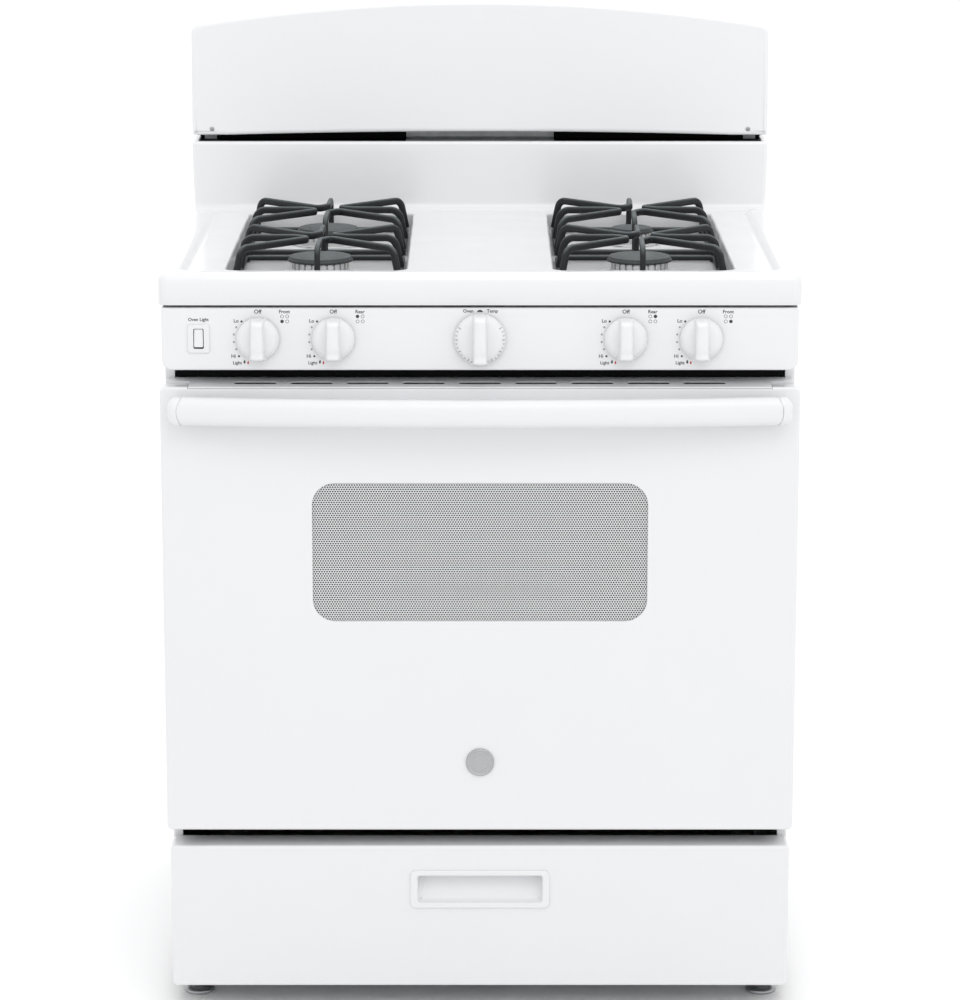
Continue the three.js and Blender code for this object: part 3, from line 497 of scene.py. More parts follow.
def shrunk(loop, distance):
    """An anticlockwise outline moved inwards, or outwards by a negative distance."""
    moved = []
    count = len(loop)
    for i, (a, b) in enumerate(loop):
        before = Vector((a - loop[i - 1][0], b - loop[i - 1][1]))
        after = Vector((loop[(i + 1) % count][0] - a, loop[(i + 1) % count][1] - b))
        before, after = before.normalized(), after.normalized()
        normal = Vector((-before.y - after.y, before.x + after.x)).normalized()
        reach = distance / max(0.3, normal.dot(Vector((-after.y, after.x))))
        moved.append((a + normal.x * reach, b + normal.y * reach))
    return moved


def eased(radius, steps=5, hold=0.4):
    """[inset, depth] points that turn from a flat face down into its side."""
    turn = [(radius - radius * math.sin(math.radians(90 * i / steps)),
             radius - radius * math.cos(math.radians(90 * i / steps))) for i in range(steps + 1)]
    return [(radius + hold, 0.0)] + turn + [(0.0, radius + hold)]


def front_pan(outline, y0, depth, radius, holes=(), lip=0.0, place=None):
    """A pressed sheet seen from the front: a face, eased edges, sides, and holes rolled inwards.

    holes is a list of (outline, roll radius, depth). lip turns the sides in at the back.
    """
    place = place or (lambda a, b, c: (a, y0 + c, b))
    shape = Shape()
    levels = eased(radius) + [(0.0, depth)]
    if lip:
        levels += [(1.0, depth + 0.4), (lip, depth + 0.4)]
    shape.tiers(outline, levels, place)
    openings = []
    for hole, roll, sink in holes:
        shape.tiers(hole, [(-inset, c) for inset, c in eased(roll) + [(0.0, sink)]], place)
        openings.append(shrunk(hole, -(roll + 0.4)))
    shape.fill(shrunk(outline, radius + 0.4), openings, place, 0.0)
    return shape


def screw(shape, place, radius=3.6, height=1.8):
    """A pan-head screw with a cross recess, its head rising from place(a, b, height)."""
    profile = [(radius, 0.0), (radius, 0.5), (radius * 0.9, height * 0.7), (radius * 0.62, height)]
    shape.turned(profile, place, 16)
    arm = radius * 0.16
    reach = radius * 0.5
    for turn in (False, True):
        a, b = (reach, arm) if not turn else (arm, reach)
        loop = [(-a, -b), (a, -b), (a, b), (-a, b)]
        shape.body([[place(p, q, h) for p, q in loop] for h in (height - 0.5, height + 0.15)])


def standing(a, b, y):
    """Puts an outline's points on an upright plane."""
    return (a, y, b)


def lying(a, b, z):
    return (a, b, z)


def facing_front(x, y, z):
    """Puts flat points on a face that looks forward at (x, y, z); height stands out of it."""
    return lambda a, b, h: (x + a, y - h, z + b)


def facing_up(x, y, z):
    return lambda a, b, h: (x + a, y + b, z + h)


def facing_back(x, y, z):
    return lambda a, b, h: (x - a, y + h, z + b)


# ---- camera, light and floor ----------------------------------------------------------------
CAMERA_PLACE = (0.0, -4.644, 1.595)
CAMERA_DIP = 12.39  # degrees below level
CAMERA_LENS = 134.1
BACKDROP = 1.12  # the white world's strength


def camera():
    data = bpy.data.cameras.new("camera")
    data.lens = CAMERA_LENS
    data.clip_end = 60
    made = bpy.data.objects.new("camera", data)
    made.location = CAMERA_PLACE
    made.rotation_euler = (math.radians(90 - CAMERA_DIP), 0.0, 0.0)
    bpy.context.scene.collection.objects.link(made)
    bpy.context.scene.camera = made


def area_light(name, place, target, size, power, spread=180):
    data = bpy.data.lights.new(name, "AREA")
    data.spread = math.radians(spread)
    data.shape = "RECTANGLE"
    data.size, data.size_y = size
    data.energy = power
    made = bpy.data.objects.new(name, data)
    made.location = place
    made.rotation_euler = (Vector(target) - Vector(place)).to_track_quat("-Z", "Y").to_euler()
    bpy.context.scene.collection.objects.link(made)


def studio():
    scene = bpy.context.scene
    scene.view_settings.view_transform = "Standard"
    world = bpy.data.worlds.new("studio_white")
    world.use_nodes = True
    backdrop = world.node_tree.nodes["Background"]
    backdrop.inputs["Color"].default_value = (1.0, 1.0, 1.0, 1.0)
    backdrop.inputs["Strength"].default_value = BACKDROP
    scene.world = world
    area_light("key_softbox", (0.5, -2.2, 3.1), (0, 0.15, 1.2), (2.4, 1.3), 3.6, 75)
    area_light("right_softbox", (2.6, -2.4, 2.2), (0, 0, 0.6), (2.0, 2.4), 4)
    area_light("top_softbox", (0, 0.2, 3.6), (0, 0, 0.9), (2.4, 2.0), 10)
    area_light("rear_softbox", (0.8, 3.2, 2.6), (0, 0, 0.6), (2.4, 2.0), 5)


def floor():
    look = plain_look("pale_floor", ((0.95, 0.95, 0.952), 0.006, 0.5), (0.75, 0.85, 0.2),
                      [(0.01, 2.0, 0.00005)])
    mesh = bpy.data.meshes.new("floor")
    half = 14.0
    mesh.from_pydata([(-half, -half, 0), (half, -half, 0), (half, half, 0), (-half, half, 0)], [],
                     [(0, 1, 2, 3)])
    mesh.materials.append(look)
    made = bpy.data.objects.new("floor", mesh)
    bpy.context.scene.collection.objects.link(made)


# ---- door -----------------------------------------------------------------------------------
WINDOW_CORNER = 27.0
DOOR = Box("door_outer_panel")
TRIM = Box("door_top_trim")
GLASS = Box("door_outer_glass")
WINDOW_INSET = (16.0, 16.5)  # how far the glass reaches past the window's edge, in x and z
TRIM_SEAM = TRIM.z1 - 1.4  # where the trim's front fold meets the skin
HINGE_X = Box("hinge_arm_right").x
POCKET_HALF = 9.5  # half the width of the door's pocket for a hinge arm
POCKET_HEIGHT = 27
PLUG_HALF, PLUG_LOW, PLUG_HIGH = 293, 307, 728  # the raised plug on the door's inside
TRIM_SLOTS = 9
TRIM_BACK = 45.5
TRIM_RISE = 4.5  # how much higher the strip is at its back
TRIM_PITCH = 66.7


def cut_box(piece, x0, x1, y0, y1, z0, z1):
    """Cuts a square recess out of a piece that is already built."""
    low, high = to_row((x0, y0, z0)), to_row((x1, y1, z1))
    mesh = bpy.data.meshes.new("cutter")
    work = bmesh.new()
    place = Matrix.LocRotScale((low + high) / 2, None, high - low)
    bmesh.ops.create_cube(work, size=1.0, matrix=place)
    work.to_mesh(mesh)
    work.free()
    cutter = bpy.data.objects.new("cutter", mesh)
    bpy.context.scene.collection.objects.link(cutter)
    modifier = piece.modifiers.new("cut", "BOOLEAN")
    modifier.operation = "DIFFERENCE"
    modifier.solver = "EXACT"
    modifier.object = cutter
    bpy.context.view_layer.update()
    shown = piece.evaluated_get(bpy.context.evaluated_depsgraph_get())
    result = bpy.data.meshes.new_from_object(shown)
    piece.modifiers.clear()
    piece.data = result
    bpy.data.objects.remove(cutter)


def door_skin():
    window = rounded(GLASS.x0 + WINDOW_INSET[0], GLASS.x1 - WINDOW_INSET[0],
                     GLASS.z0 + WINDOW_INSET[1], GLASS.z1 - WINDOW_INSET[1], WINDOW_CORNER, 14)
    outline = rounded(DOOR.x0, DOOR.x1, DOOR.z0, DOOR.z1, 7, 8)
    shape = front_pan(outline, DOOR.y0, DOOR.y1 - DOOR.y0 - 1, 3.2, [(window, 1.4, 1.8)], 6)
    skin = build("door_skin", shape, "oven_door", "porcelain_white",
                 replaces=["door_outer_panel"], thickness=1.2)
    cut_box(skin, TRIM.x0 - 0.4, TRIM.x1 + 0.4, DOOR.y0 - 5, DOOR.y1 + 5,
            TRIM_SEAM - 0.5, TRIM.z1 + 5)
    for side in (-1, 1):
        near, far = sorted((side * (HINGE_X - POCKET_HALF), side * (HINGE_X + POCKET_HALF)))
        cut_box(skin, near, far, DOOR.y0 + 1.5, DOOR.y1 + 5, DOOR.z0 - 1, DOOR.z0 + POCKET_HEIGHT)


def trim_outline():
    """Narrow at the front fold and as wide as the door behind its skin."""
    wing, step = DOOR.x1 - 6.5, DOOR.y1 + 0.5
    right = [(TRIM.x1, DOOR.y0 + 0.15), (TRIM.x1, step), (wing, step), (wing, TRIM_BACK)]
    return right + [(-x, y) for x, y in reversed(right)]


def trim_place(x, y, z):
    """The strip's top rises gently towards the back, while its underside stays level."""
    share = (z - TRIM_SEAM) / (TRIM.z1 - TRIM_SEAM)
    return (x, y, z + TRIM_RISE * max(0.0, y - TRIM.y0) / TRIM_BACK * share)


def door_trim():
    """The vented strip along the top of the door, folded over its front edge."""
    outline = trim_outline()
    centres = [(i - (TRIM_SLOTS - 1) / 2) * TRIM_PITCH for i in range(TRIM_SLOTS)]
    slots = [rounded(x - 25, x + 25, TRIM.y0 + 12, TRIM.y0 + 20, 3.6, 5) for x in centres]
    top = TRIM.z1
    shape = Shape()
    levels = [(0.0, TRIM_SEAM), (0.0, top - 1.3), (0.1, top - 0.75), (0.4, top - 0.3),
              (0.8, top - 0.08), (1.3, top)]
    shape.tiers(outline, levels, trim_place)
    edges = [(-0.8, top), (-0.25, top - 0.25), (0.0, top - 0.7), (0.0, TRIM_SEAM)]
    # Black sleeves under the slots: painted shade that stands for the dark inside of the door seen
    # through them.
    sleeves = Shape()
    sleeve_foot = TRIM_SEAM - 0.8
    for slot in slots:
        shape.tiers(slot, edges, trim_place)
        sleeves.tiers(slot, [(0.1, top - 0.3), (0.1, sleeve_foot)], trim_place)
        sleeves.fill(shrunk(slot, 0.1), [], trim_place, sleeve_foot)
    top_holes = [shrunk(slot, -0.8) for slot in slots]
    shape.fill(shrunk(outline, 1.3), top_holes, trim_place, top)
    shape.fill(outline, slots, trim_place, TRIM_SEAM)
    build("door_vent_trim", shape, "oven_door", "paint_white", replaces=["door_top_trim"])
    build("door_vent_slot_painted_shade", sleeves, "oven_door", "enamel_black", thickness=0.15)


def door_window():
    shape = Shape().block(GLASS.x0, GLASS.x1, GLASS.y0 + 0.3, GLASS.y1, GLASS.z0, GLASS.z1, 0.8)
    build("dotted_window", shape, "oven_door", "window_glass", DOTTED, ["door_outer_glass"])
    inner = Box("door_inner_glass")
    shape = Shape().block(inner.x0, inner.x1, inner.y0, inner.y1, inner.z0, inner.z1, 0.8)
    build("inner_window", shape, "oven_door", "window_glass", None, ["door_inner_glass"])


def door_inside():
    """The dark inner pan with its raised plug, sight hole and screws."""
    pan = Box("door_inner_panel")
    plug_y = pan.y1
    base_y = pan.y1 - 14
    sight = Box("door_inner_glass")
    outline = rounded(pan.x0, pan.x1, pan.z0, pan.z1, 6, 6)
    plug = rounded(-PLUG_HALF, PLUG_HALF, PLUG_LOW, PLUG_HIGH, 16, 8)
    window = rounded(sight.x0 + 12, sight.x1 - 12, sight.z0 + 12, sight.z1 - 12, 10, 8)
    shape = Shape()
    rim = [(4.4, base_y)] + [(inset, base_y - c) for inset, c in eased(4)[1:]] + [(0.0, pan.y0)]
    shape.tiers(outline, rim, standing)
    slope = [(-3.4, base_y), (-3.0, base_y), (-1.2, base_y + 0.8), (0.0, base_y + 3),
             (1.6, plug_y - 3), (2.8, plug_y - 0.8), (5.0, plug_y), (5.4, plug_y)]
    shape.tiers(plug, slope, standing)
    roll = [(-3.4, plug_y), (-3.0, plug_y), (-0.9, plug_y - 0.9), (0.0, plug_y - 1.6)]
    shape.tiers(window, roll, standing)
    shape.fill(shrunk(outline, 4.4), [shrunk(plug, -3.4)], standing, base_y)
    shape.fill(shrunk(plug, 5.4), [shrunk(window, -3.4)], standing, plug_y)
    pan_piece = build("door_inner_pan", shape, "oven_door", "enamel_black", SPECKLED,
                      ["door_inner_panel"], thickness=1.0)
    for side in (-1, 1):
        x = side * HINGE_X
        cut_box(pan_piece, x - 10, x + 10, pan.y0 - 5, pan.y1, pan.z0 - 5, pan.z0 + 42)
    door_inner_screws(pan, base_y)


def door_inner_screws(pan, base_y):
    screws = Shape()
    for side in (-1, 1):
        for z in (300, 420, 560, 690, 750):
            screw(screws, facing_back(side * 345, base_y, z), 4)
        for x in (70, 210):
            screw(screws, facing_back(side * x, base_y, pan.z0 + 14), 4)
    build("door_inner_screws", screws, "oven_door", "plain_steel")


def handle_section(thick, height, steps=32):
    """An oval with a fuller front, as [forward, up] points."""
    points = []
    for i in range(steps):
        angle = math.tau * i / steps
        power = 0.82
        c, s = math.cos(angle), math.sin(angle)
        points.append((math.copysign(abs(c) ** power, c) * thick / 2,
                       math.copysign(abs(s) ** power, s) * height / 2))
    return points


def handle_seam(up, half):
    """How far a seam lies from the handle's end at a height: it bulges towards the end."""
    return 10.5 + 6.0 * (up / half) ** 2


def door_handle():
    """A bowed bar whose round ends sit in two end caps that reach back to the door."""
    grip = Box("door_handle")
    thick, height, bow = 24.0, grip.z1 - grip.z0, 20.0
    half = height / 2
    middle = grip.y0 + thick / 2
    bar = Shape()
    rings = []
    count = 44
    for i in range(count + 1):
        t = -1 + 2 * i / count
        ring = []
        for forward, up in handle_section(thick, height - 0.5):
            x = t * (grip.x1 - handle_seam(up, half) - 0.35)
            ring.append((x, middle + bow * t * t - forward, grip.z + up))
        rings.append(ring)
    bar.body(rings)
    build("handle_bar", bar, "oven_door", "plastic_white", replaces=["door_handle"], sharp=50)
    caps = Shape()
    for side in (-1, 1):
        handle_nose(caps, side, grip, middle + bow * 0.96, thick, half)
        handle_foot(caps, side, grip, middle + bow, half)
    build("handle_end_caps", caps, "oven_door", "plastic_white", sharp=60)


def handle_nose(shape, side, grip, middle, thick, half):
    """The cap's visible end: it carries the bar's oval on and rounds it off."""
    rings = []
    steps = 14
    for i in range(steps + 1):
        share = math.sin(math.radians(90 * i / steps))
        ring = []
        for forward, up in handle_section(thick, half * 2):
            seam = handle_seam(up, half)
            left = seam * (1 - share)
            tall = round_off(left, 12.0, half)
            deep = round_off(left, 9.0, thick / 2)
            ring.append((side * (grip.x1 - left - 0.02), middle - forward * deep, grip.z + up * tall))
        rings.append(ring)
    shape.body(rings)


def round_off(left, radius, half):
    """The share of a half size that remains at a distance from an end rounded by a radius."""
    if left >= radius:
        return 1.0
    return (half - radius + math.sqrt(radius * radius - (radius - left) ** 2)) / half


def handle_foot(shape, side, grip, middle, half):
    """The leg behind the cap, drawn in towards the door so that it hides behind the bar."""
    rings = []
    back = grip.y1
    for share, y in ((0.86, middle - 2), (0.84, middle + 4), (0.74, middle + 9), (0.66, back - 4),
                     (0.64, back - 0.6), (0.62, back)):
        tall = half * share
        x0, x1 = grip.x1 - 29, grip.x1 - 2.5 - 6 * (0.86 - share)
        loop = rounded(x0, x1, -tall, tall, 5.5, 5)
        rings.append([(side * a, y, grip.z - 1.0 + b) for a, b in loop])
    shape.body(rings)


def badge():
    """A plain round medallion: a polished rim around a slightly sunk brushed face."""
    disc = Box("door_badge")
    radius = disc.half
    shape = Shape()
    profile = [(radius, 0.0), (radius, 1.6), (radius - 0.5, 2.4), (radius - 1.3, 2.8),
               (radius - 2.2, 2.6), (radius - 2.9, 1.9), (radius - 3.3, 1.8), (radius - 6.0, 1.9),
               (radius - 6.4, 2.2), (radius - 6.9, 2.2), (radius - 7.2, 1.9), (2.0, 2.1), (0.6, 2.12)]
    shape.turned(profile, facing_front(disc.x, disc.y1, disc.z), 72)
    build("round_medallion", shape, "oven_door", "badge_aluminium", replaces=["door_badge"])


# ---- controls -------------------------------------------------------------------------------
PANEL = Box("control_panel")
PANEL_FACE = PANEL.y0
OVEN_SKIRT_INSET = 1.2
BURNER_PLACES = ("front_left", "rear_left", "rear_right", "front_right")


def control_panel():
    outline = rounded(PANEL.x0, PANEL.x1, PANEL.z0, PANEL.z1, 12, 10, 2.6)
    switch = Box("oven_light_bezel")
    opening = rounded(switch.x - 9, switch.x + 9, switch.z - 14, switch.z + 14, 1, 3)
    shape = front_pan(outline, PANEL.y0, PANEL.y1 - PANEL.y0, 2.2, [(opening, 0.3, 0.6)])
    build("control_fascia", shape, "range_body", "paint_white", replaces=["control_panel"],
          thickness=1.2)


def knob_skirt(shape, place, radius):
    profile = [(radius - 0.6, 0.0), (radius, 0.5), (radius, 2.4), (radius - 0.4, 3.2),
               (radius - 1.4, 4.6), (radius - 4.2, 7.4), (radius - 5.4, 8.2),
               (radius * 0.6, 9.4), (radius * 0.3, 10.6), (1.0, 11.0)]
    shape.turned(profile, place, 72)


def knob_ridge(shape, place, radius, depth):
    """The grip: narrow at the top, wider below, and dished where a fingertip rests."""
    stations = 36
    rings = []
    for i in range(stations + 1):
        up = -math.cos(math.pi * i / stations) * (radius - 0.5)
        level = (up + radius) / (2 * radius)
        half = 8.6 - 0.9 * level
        fall = 1 - math.sqrt(max(0.0, 1 - max(0.0, (abs(up) - radius + 6.5) / 6.2) ** 2))
        top = depth - (depth - 5.5) * fall
        top -= 2.0 * math.exp(-((up + radius * 0.62) / (radius * 0.2)) ** 2)
        foot = 10.6 - 4.6 * (abs(up) / radius) ** 3
        section = ridge_section(half, max(foot - 2.5, 2.0), max(top, foot))
        rings.append([place(a, up, c) for a, c in section])
    shape.body(rings)


def ridge_section(half, foot, top):
    """Half a rounded bar standing on the skirt: flared feet, drafted sides and a soft crown."""
    round_off = min(4.4, (top - foot) * 0.5, half * 0.6)
    flare = 1.7
    crown = half * 0.12
    right = [(half + flare + 0.4, foot - 1.0), (half + flare, foot), (half + 0.75, foot + 0.5),
             (half + 0.25, foot + 1.5)]
    right += [(half - round_off + round_off * math.cos(math.radians(t)) - 0.5,
               top - round_off + round_off * math.sin(math.radians(t))) for t in range(0, 91, 15)]
    right += [((half - round_off) * 0.5, top + crown * 0.35), (0.0, top + crown * 0.5)]
    left = [(-a, c) for a, c in reversed(right[:-1])]
    return right + left


def knobs():
    for name in BURNER_PLACES + ("oven",):
        cad = Box(name + "_knob")
        radius = cad.half - (OVEN_SKIRT_INSET if name == "oven" else 0.7)
        depth = cad.y1 - cad.y0
        place = facing_front(cad.x, cad.y1, cad.z)
        shape = Shape()
        knob_skirt(shape, place, radius)
        knob_ridge(shape, place, radius, depth)
        body = name + "_dial"
        build(name + "_grip_knob", shape, body, "plastic_white", replaces=[name + "_knob"], sharp=50)
    oven_dial_ticks()


def oven_dial_ticks():
    """Short printed marks round the skirt of the oven knob, with figures at every third one."""
    cad = Box("oven_knob")
    radius = cad.half - OVEN_SKIRT_INSET
    shape = Shape()
    for i in range(25):
        angle = math.radians(150 + i * 10)
        length = 3.4 if i % 3 == 0 else 2.0
        half = 0.3
        r0, r1 = radius - 1.0 - length, radius - 1.0
        c, s = math.cos(angle), math.sin(angle)

        def at(r, w, h):
            return (cad.x + r * c - w * s, cad.y1 - h, cad.z + r * s + w * c)

        low, high = 4.15, 4.15 + length * 0.98
        shape.body([[at(r1, -half, low + a), at(r0, -half, high + b), at(r0, half, high + b),
                     at(r1, half, low + a)] for a, b in ((0.0, 0.0), (0.5, 0.3))])
    build("oven_dial_marks", shape, "oven_dial", "plastic_white", DIAL_INK)


def lettering(shape, text, x, z, size, align="CENTER"):
    """Flat printed words on the control panel, as thin raised ink."""
    curve = bpy.data.curves.new("words", "FONT")
    curve.body = text
    curve.size = size * MM
    curve.align_x = align
    curve.align_y = "CENTER"
    curve.extrude = 0.00003
    curve.offset = 0.00012
    curve.resolution_u = 3
    words = bpy.data.objects.new("words", curve)
    bpy.context.scene.collection.objects.link(words)
    bpy.context.view_layer.update()
    mesh = words.evaluated_get(bpy.context.evaluated_depsgraph_get()).to_mesh()
    points = [(x + v.co.x / MM, PANEL_FACE - 0.03 - v.co.z / MM, z + v.co.y / MM)
              for v in mesh.vertices]
    shape.add(points, [tuple(p.vertices) for p in mesh.polygons])
    bpy.data.objects.remove(words)
    bpy.data.curves.remove(curve)


def dot(shape, x, z, radius, hole=0.0):
    """A printed dot, or a ring if it has a hole."""
    place = facing_front(x, PANEL_FACE, z)
    if hole:
        profile = [(hole, 0.0), (radius, 0.0), (radius, 0.06), (hole, 0.06), (hole, 0.0)]
        shape.turned(profile, place, 24, False, False)
    else:
        shape.turned([(radius, 0.0), (radius, 0.06)], place, 20)


def flame(shape, x, z, size):
    """A small flame mark: a drop with a leaning tip."""
    place = facing_front(x, PANEL_FACE, z)
    loop = []
    for i in range(20):
        angle = math.tau * i / 20
        tall = 1.0 if math.sin(angle) < 0 else 1.9
        lean = 0.35 * max(0.0, math.sin(angle)) ** 2
        narrow = 1 - 0.75 * max(0.0, math.sin(angle)) ** 2
        loop.append((size * (0.75 * math.cos(angle) * narrow + lean), size * tall * math.sin(angle)))
    shape.body([[place(a, b, h) for a, b in loop] for h in (0.0, 0.07)])


def burner_legend(place, dark, pale, red):
    """The words, dots and flames around one burner's knob."""
    knob = Box(place + "_knob")
    x, z = knob.x, knob.z
    lettering(dark, "Off", x, z + 32, 6.6)
    end, hand = place.split("_")
    lettering(dark, end.capitalize(), x + 31.5, z + 32, 5.8)
    for column in (-1, 1):
        for row in (-1, 1):
            is_mine = (row > 0) == (end == "rear") and (column > 0) == (hand == "right")
            dot(dark, x + 31.7 + column * 3.05, z + 23.5 + row * 3.0, 2.1, 0.0 if is_mine else 1.6)
    for angle, reach in ((133, 28), (223, 31)):
        dot(dark, x + reach * math.cos(math.radians(angle)),
            z + reach * math.sin(math.radians(angle)), 1.3)
    for i in range(4):
        angle = math.radians(152 + i * 18.2)
        dot(pale, x + 28.8 * math.cos(angle), z + 28.8 * math.sin(angle), 1.25)
    lettering(dark, "Lo", x - 22.5, z + 21, 5.8, "RIGHT")
    lettering(dark, "Hi", x - 26.4, z - 21.2, 5.8, "RIGHT")
    lettering(dark, "Light", x - 19.4, z - 29.2, 5.4, "RIGHT")
    flame(dark, x - 16.2, z - 28.4, 1.6)
    flame(red, x - 12.0, z - 29.2, 1.4)


def panel_printing():
    dark, pale, red = Shape(), Shape(), Shape()
    for place in BURNER_PLACES:
        burner_legend(place, dark, pale, red)
    oven = Box("oven_knob")
    lettering(dark, "Oven", oven.x - 7.5, oven.z + 32.8, 5.6, "RIGHT")
    lettering(dark, "Temp", oven.x + 8.0, oven.z + 32.8, 5.6, "LEFT")
    arrow = facing_front(oven.x, PANEL_FACE, oven.z + 31.7)
    half_moon = [(a, b * 0.75) for a, b in arc(0, 0, 3.4, 0, 180, 14)]
    dark.body([[arrow(a, b, h) for a, b in half_moon] for h in (0.0, 0.06)])
    switch = Box("oven_light_bezel")
    lettering(dark, "Oven Light", switch.x, switch.z1 + 5.6, 5.4)
    build("panel_legends", dark, "range_body", "enamel_black", DARK_INK)
    build("panel_dots", pale, "range_body", "enamel_black", PALE_INK)
    build("panel_flames", red, "range_body", "enamel_black", RED_INK)


ROCKER_PIVOT = 6.0  # behind the door's front plane, where the switch's joint is
ROCKER_TILT = math.radians(-7)  # the off position
ROCKER_HALF = 10.7


def light_switch():
    plate = Box("oven_light_bezel")
    outline = rounded(plate.x0, plate.x1, plate.z0, plate.z1, 3.4, 6)
    hole = rounded(plate.x - 6, plate.x + 6, plate.z - 11.9, plate.z + 11.9, 1.4, 5)
    shape = front_pan(outline, plate.y0, PANEL_FACE - plate.y0 - 0.05, 1.0, [(hole, 0.6, 12.0)])
    build("switch_bezel", shape, "range_body", "plastic_white", replaces=["oven_light_bezel"],
          thickness=0.5)
    # A black sleeve inside the switch hole: painted shade that stands for the dark gap round the
    # rocker.
    well = Shape().tiers(hole, [(0.05, plate.y0 + 0.7), (0.05, plate.y0 + 11)], standing)
    build("switch_gap_painted_shade", well, "range_body", "enamel_black", thickness=0.1)
    switch_rocker(plate)


def switch_rocker(plate):
    """A dished rocker lying in its off position about the pivot of its joint."""
    outline = rounded(-5.3, 5.3, -ROCKER_HALF, ROCKER_HALF, 1.0, 4)
    c, s = math.cos(ROCKER_TILT), math.sin(ROCKER_TILT)
    rings = []
    for inset, ahead in ((1.9, -5.0), (0.6, 1.0), (0.0, 5.8), (0.25, 6.75), (0.9, 7.0)):
        ring = []
        for a, b in shrunk(outline, inset):
            y = (2.0 * (1 - (b / ROCKER_HALF) ** 2) if ahead > 1 else 0.0) - ahead
            ring.append((plate.x + a, ROCKER_PIVOT + y * c - b * s, plate.z + b * c + y * s))
        rings.append(ring)
    shape = Shape().body(rings)
    build("switch_rocker", shape, "light_rocker", "plastic_white", replaces=["oven_light_switch"])


# ---- cooktop --------------------------------------------------------------------------------
DECK = Box("cooktop")
LIP_Z = 878.0  # the lip's lower edge
RIM_Z = 916.0
FIELD_Z = RIM_Z - 3
TROUGH_BACK = 600.0
RISER_FRONT = 548.0
RISER_FILLET = 13.0
BACKGUARD = Box("backguard_panel")
WELL = {"inner": 88.0, "outer": 302.0, "front": 45.0, "back": 532.0, "corner": 14.0}


def cooktop():
    """One enamelled pressing: lip, rim, trough, field, two burner wells and the riser behind."""
    floor_z = Box("front_left_burner_head").z0 + 11.6
    outline = rounded(DECK.x0, DECK.x1, DECK.y0, DECK.y1, 12, 10)
    inner = rounded(DECK.x0 + 22, DECK.x1 - 22, DECK.y0 + 20, TROUGH_BACK, 20, 10)
    shape = Shape()
    levels = [(1.6, LIP_Z + 0.3), (0.5, LIP_Z), (0.0, LIP_Z + 0.7), (0.0, RIM_Z - 13)]
    for i in range(1, 9):
        angle = math.radians(90 * i / 8)
        levels.append((11 - 11 * math.cos(angle), RIM_Z - 11 + 11 * math.sin(angle)))
    rings = [[(a, b, z) for a, b in shrunk(outline, inset)] for inset, z in levels]
    slope = [(-1.0, RIM_Z), (0.0, RIM_Z), (2.0, RIM_Z - 0.3), (4.5, RIM_Z - 1.2), (7.0, RIM_Z - 2.5),
             (9.0, RIM_Z - 3.9), (10.6, RIM_Z - 4.2), (12.2, RIM_Z - 3.9), (13.8, FIELD_Z - 0.2),
             (14.6, FIELD_Z)]
    rings += [[(a, b, z) for a, b in shrunk(inner, inset)] for inset, z in slope]
    shape.rings(rings)
    holes = wells(shape, floor_z)
    shape.fill(shrunk(inner, 14.6), holes, lying, FIELD_Z)
    riser(shape)
    build("cooktop_pressing", shape, "range_body", "porcelain_white", replaces=["cooktop"], sharp=45)
    well_screws(floor_z)


def wells(shape, floor_z):
    """The two sunk wells; their outlines in the field are given back."""
    holes = []
    for side in (-1, 1):
        x0, x1 = sorted((side * WELL["inner"], side * WELL["outer"]))
        well = rounded(x0, x1, WELL["front"], WELL["back"], WELL["corner"], 10)
        steps = [(-inset, FIELD_Z - drop) for inset, drop in eased(3.0, 6)]
        steps += [(0.6, floor_z + 6.5)]
        for i in range(1, 6):
            angle = math.radians(90 * i / 5)
            steps.append((0.6 + 5.5 - 5.5 * math.cos(angle), floor_z + 5.5 - 5.5 * math.sin(angle)))
        steps.append((6.5, floor_z))
        shape.tiers(well, steps, lying)
        well_floor(shape, side, shrunk(well, 6.5), floor_z)
        holes.append(shrunk(well, -3.4))
    return holes


def well_floor(shape, side, outline, floor_z):
    """The floor of a well, with a low raised seat around each burner."""
    seats = []
    for end in ("front", "rear"):
        place = end + ("_left" if side < 0 else "_right")
        head = Box(place + "_burner_head")
        radius = head.half + 14
        profile = [(radius + 3, 0.0), (radius + 2.6, 0.0), (radius + 0.5, 0.3), (radius - 2.5, 1.5),
                   (radius - 4.5, 1.8), (radius - 9, 1.8), (radius - 11, 1.6), (radius - 12.5, 0.6),
                   (radius - 13.6, 0.1), (6.0, 0.0)]
        shape.turned(profile, facing_up(head.x, head.y, floor_z), 60, False)
        seats.append([(head.x + a, head.y + b) for a, b in arc(0, 0, radius + 3, 0, 354, 59)])
    shape.fill(outline, seats, lying, floor_z)


def riser(shape):
    """The upstand behind the burners, swept up from the deck and drawn in at its foot."""
    front, back, top = RISER_FRONT, DECK.y1, DECK.z1
    half = DECK.x1 - 1.5
    heights = [FIELD_Z - 1.6]
    heights += [FIELD_Z + 0.02 + RISER_FILLET * (1 - math.cos(math.radians(90 * i / 8)))
                for i in range(9)]
    heights += [FIELD_Z + RISER_FILLET + (top - 4 - FIELD_Z - RISER_FILLET) * i / 8
                for i in range(1, 9)]
    rings = []
    for z in heights:
        rise = min(1.0, (z - FIELD_Z) / RISER_FILLET)
        forward = RISER_FILLET * (1 - math.sqrt(max(0.0, 1 - (1 - rise) ** 2)))
        t = min(1.0, (z - FIELD_Z) / (top - FIELD_Z))
        width = half - 3.0 * (1 - t) ** 2
        rings.append(riser_ring(width, front - forward, back, z, 5.0))
    for i in range(1, 6):
        angle = math.radians(90 * i / 5)
        inset = 4 - 4 * math.cos(angle)
        z = top - 4 + 4 * math.sin(angle)
        rings.append(riser_ring(half - inset, front + inset, back, z, 5.0))
    rings.append(riser_ring(half - 7, front + 7, back, top, 5.0))
    rings.append(riser_ring(half - 7.4, front + 7.4, back, top - 0.6, 5.0))
    rings.append(riser_ring(half - 7.4, front + 7.4, back, top - 30, 5.0))
    shape.rings(rings, False)


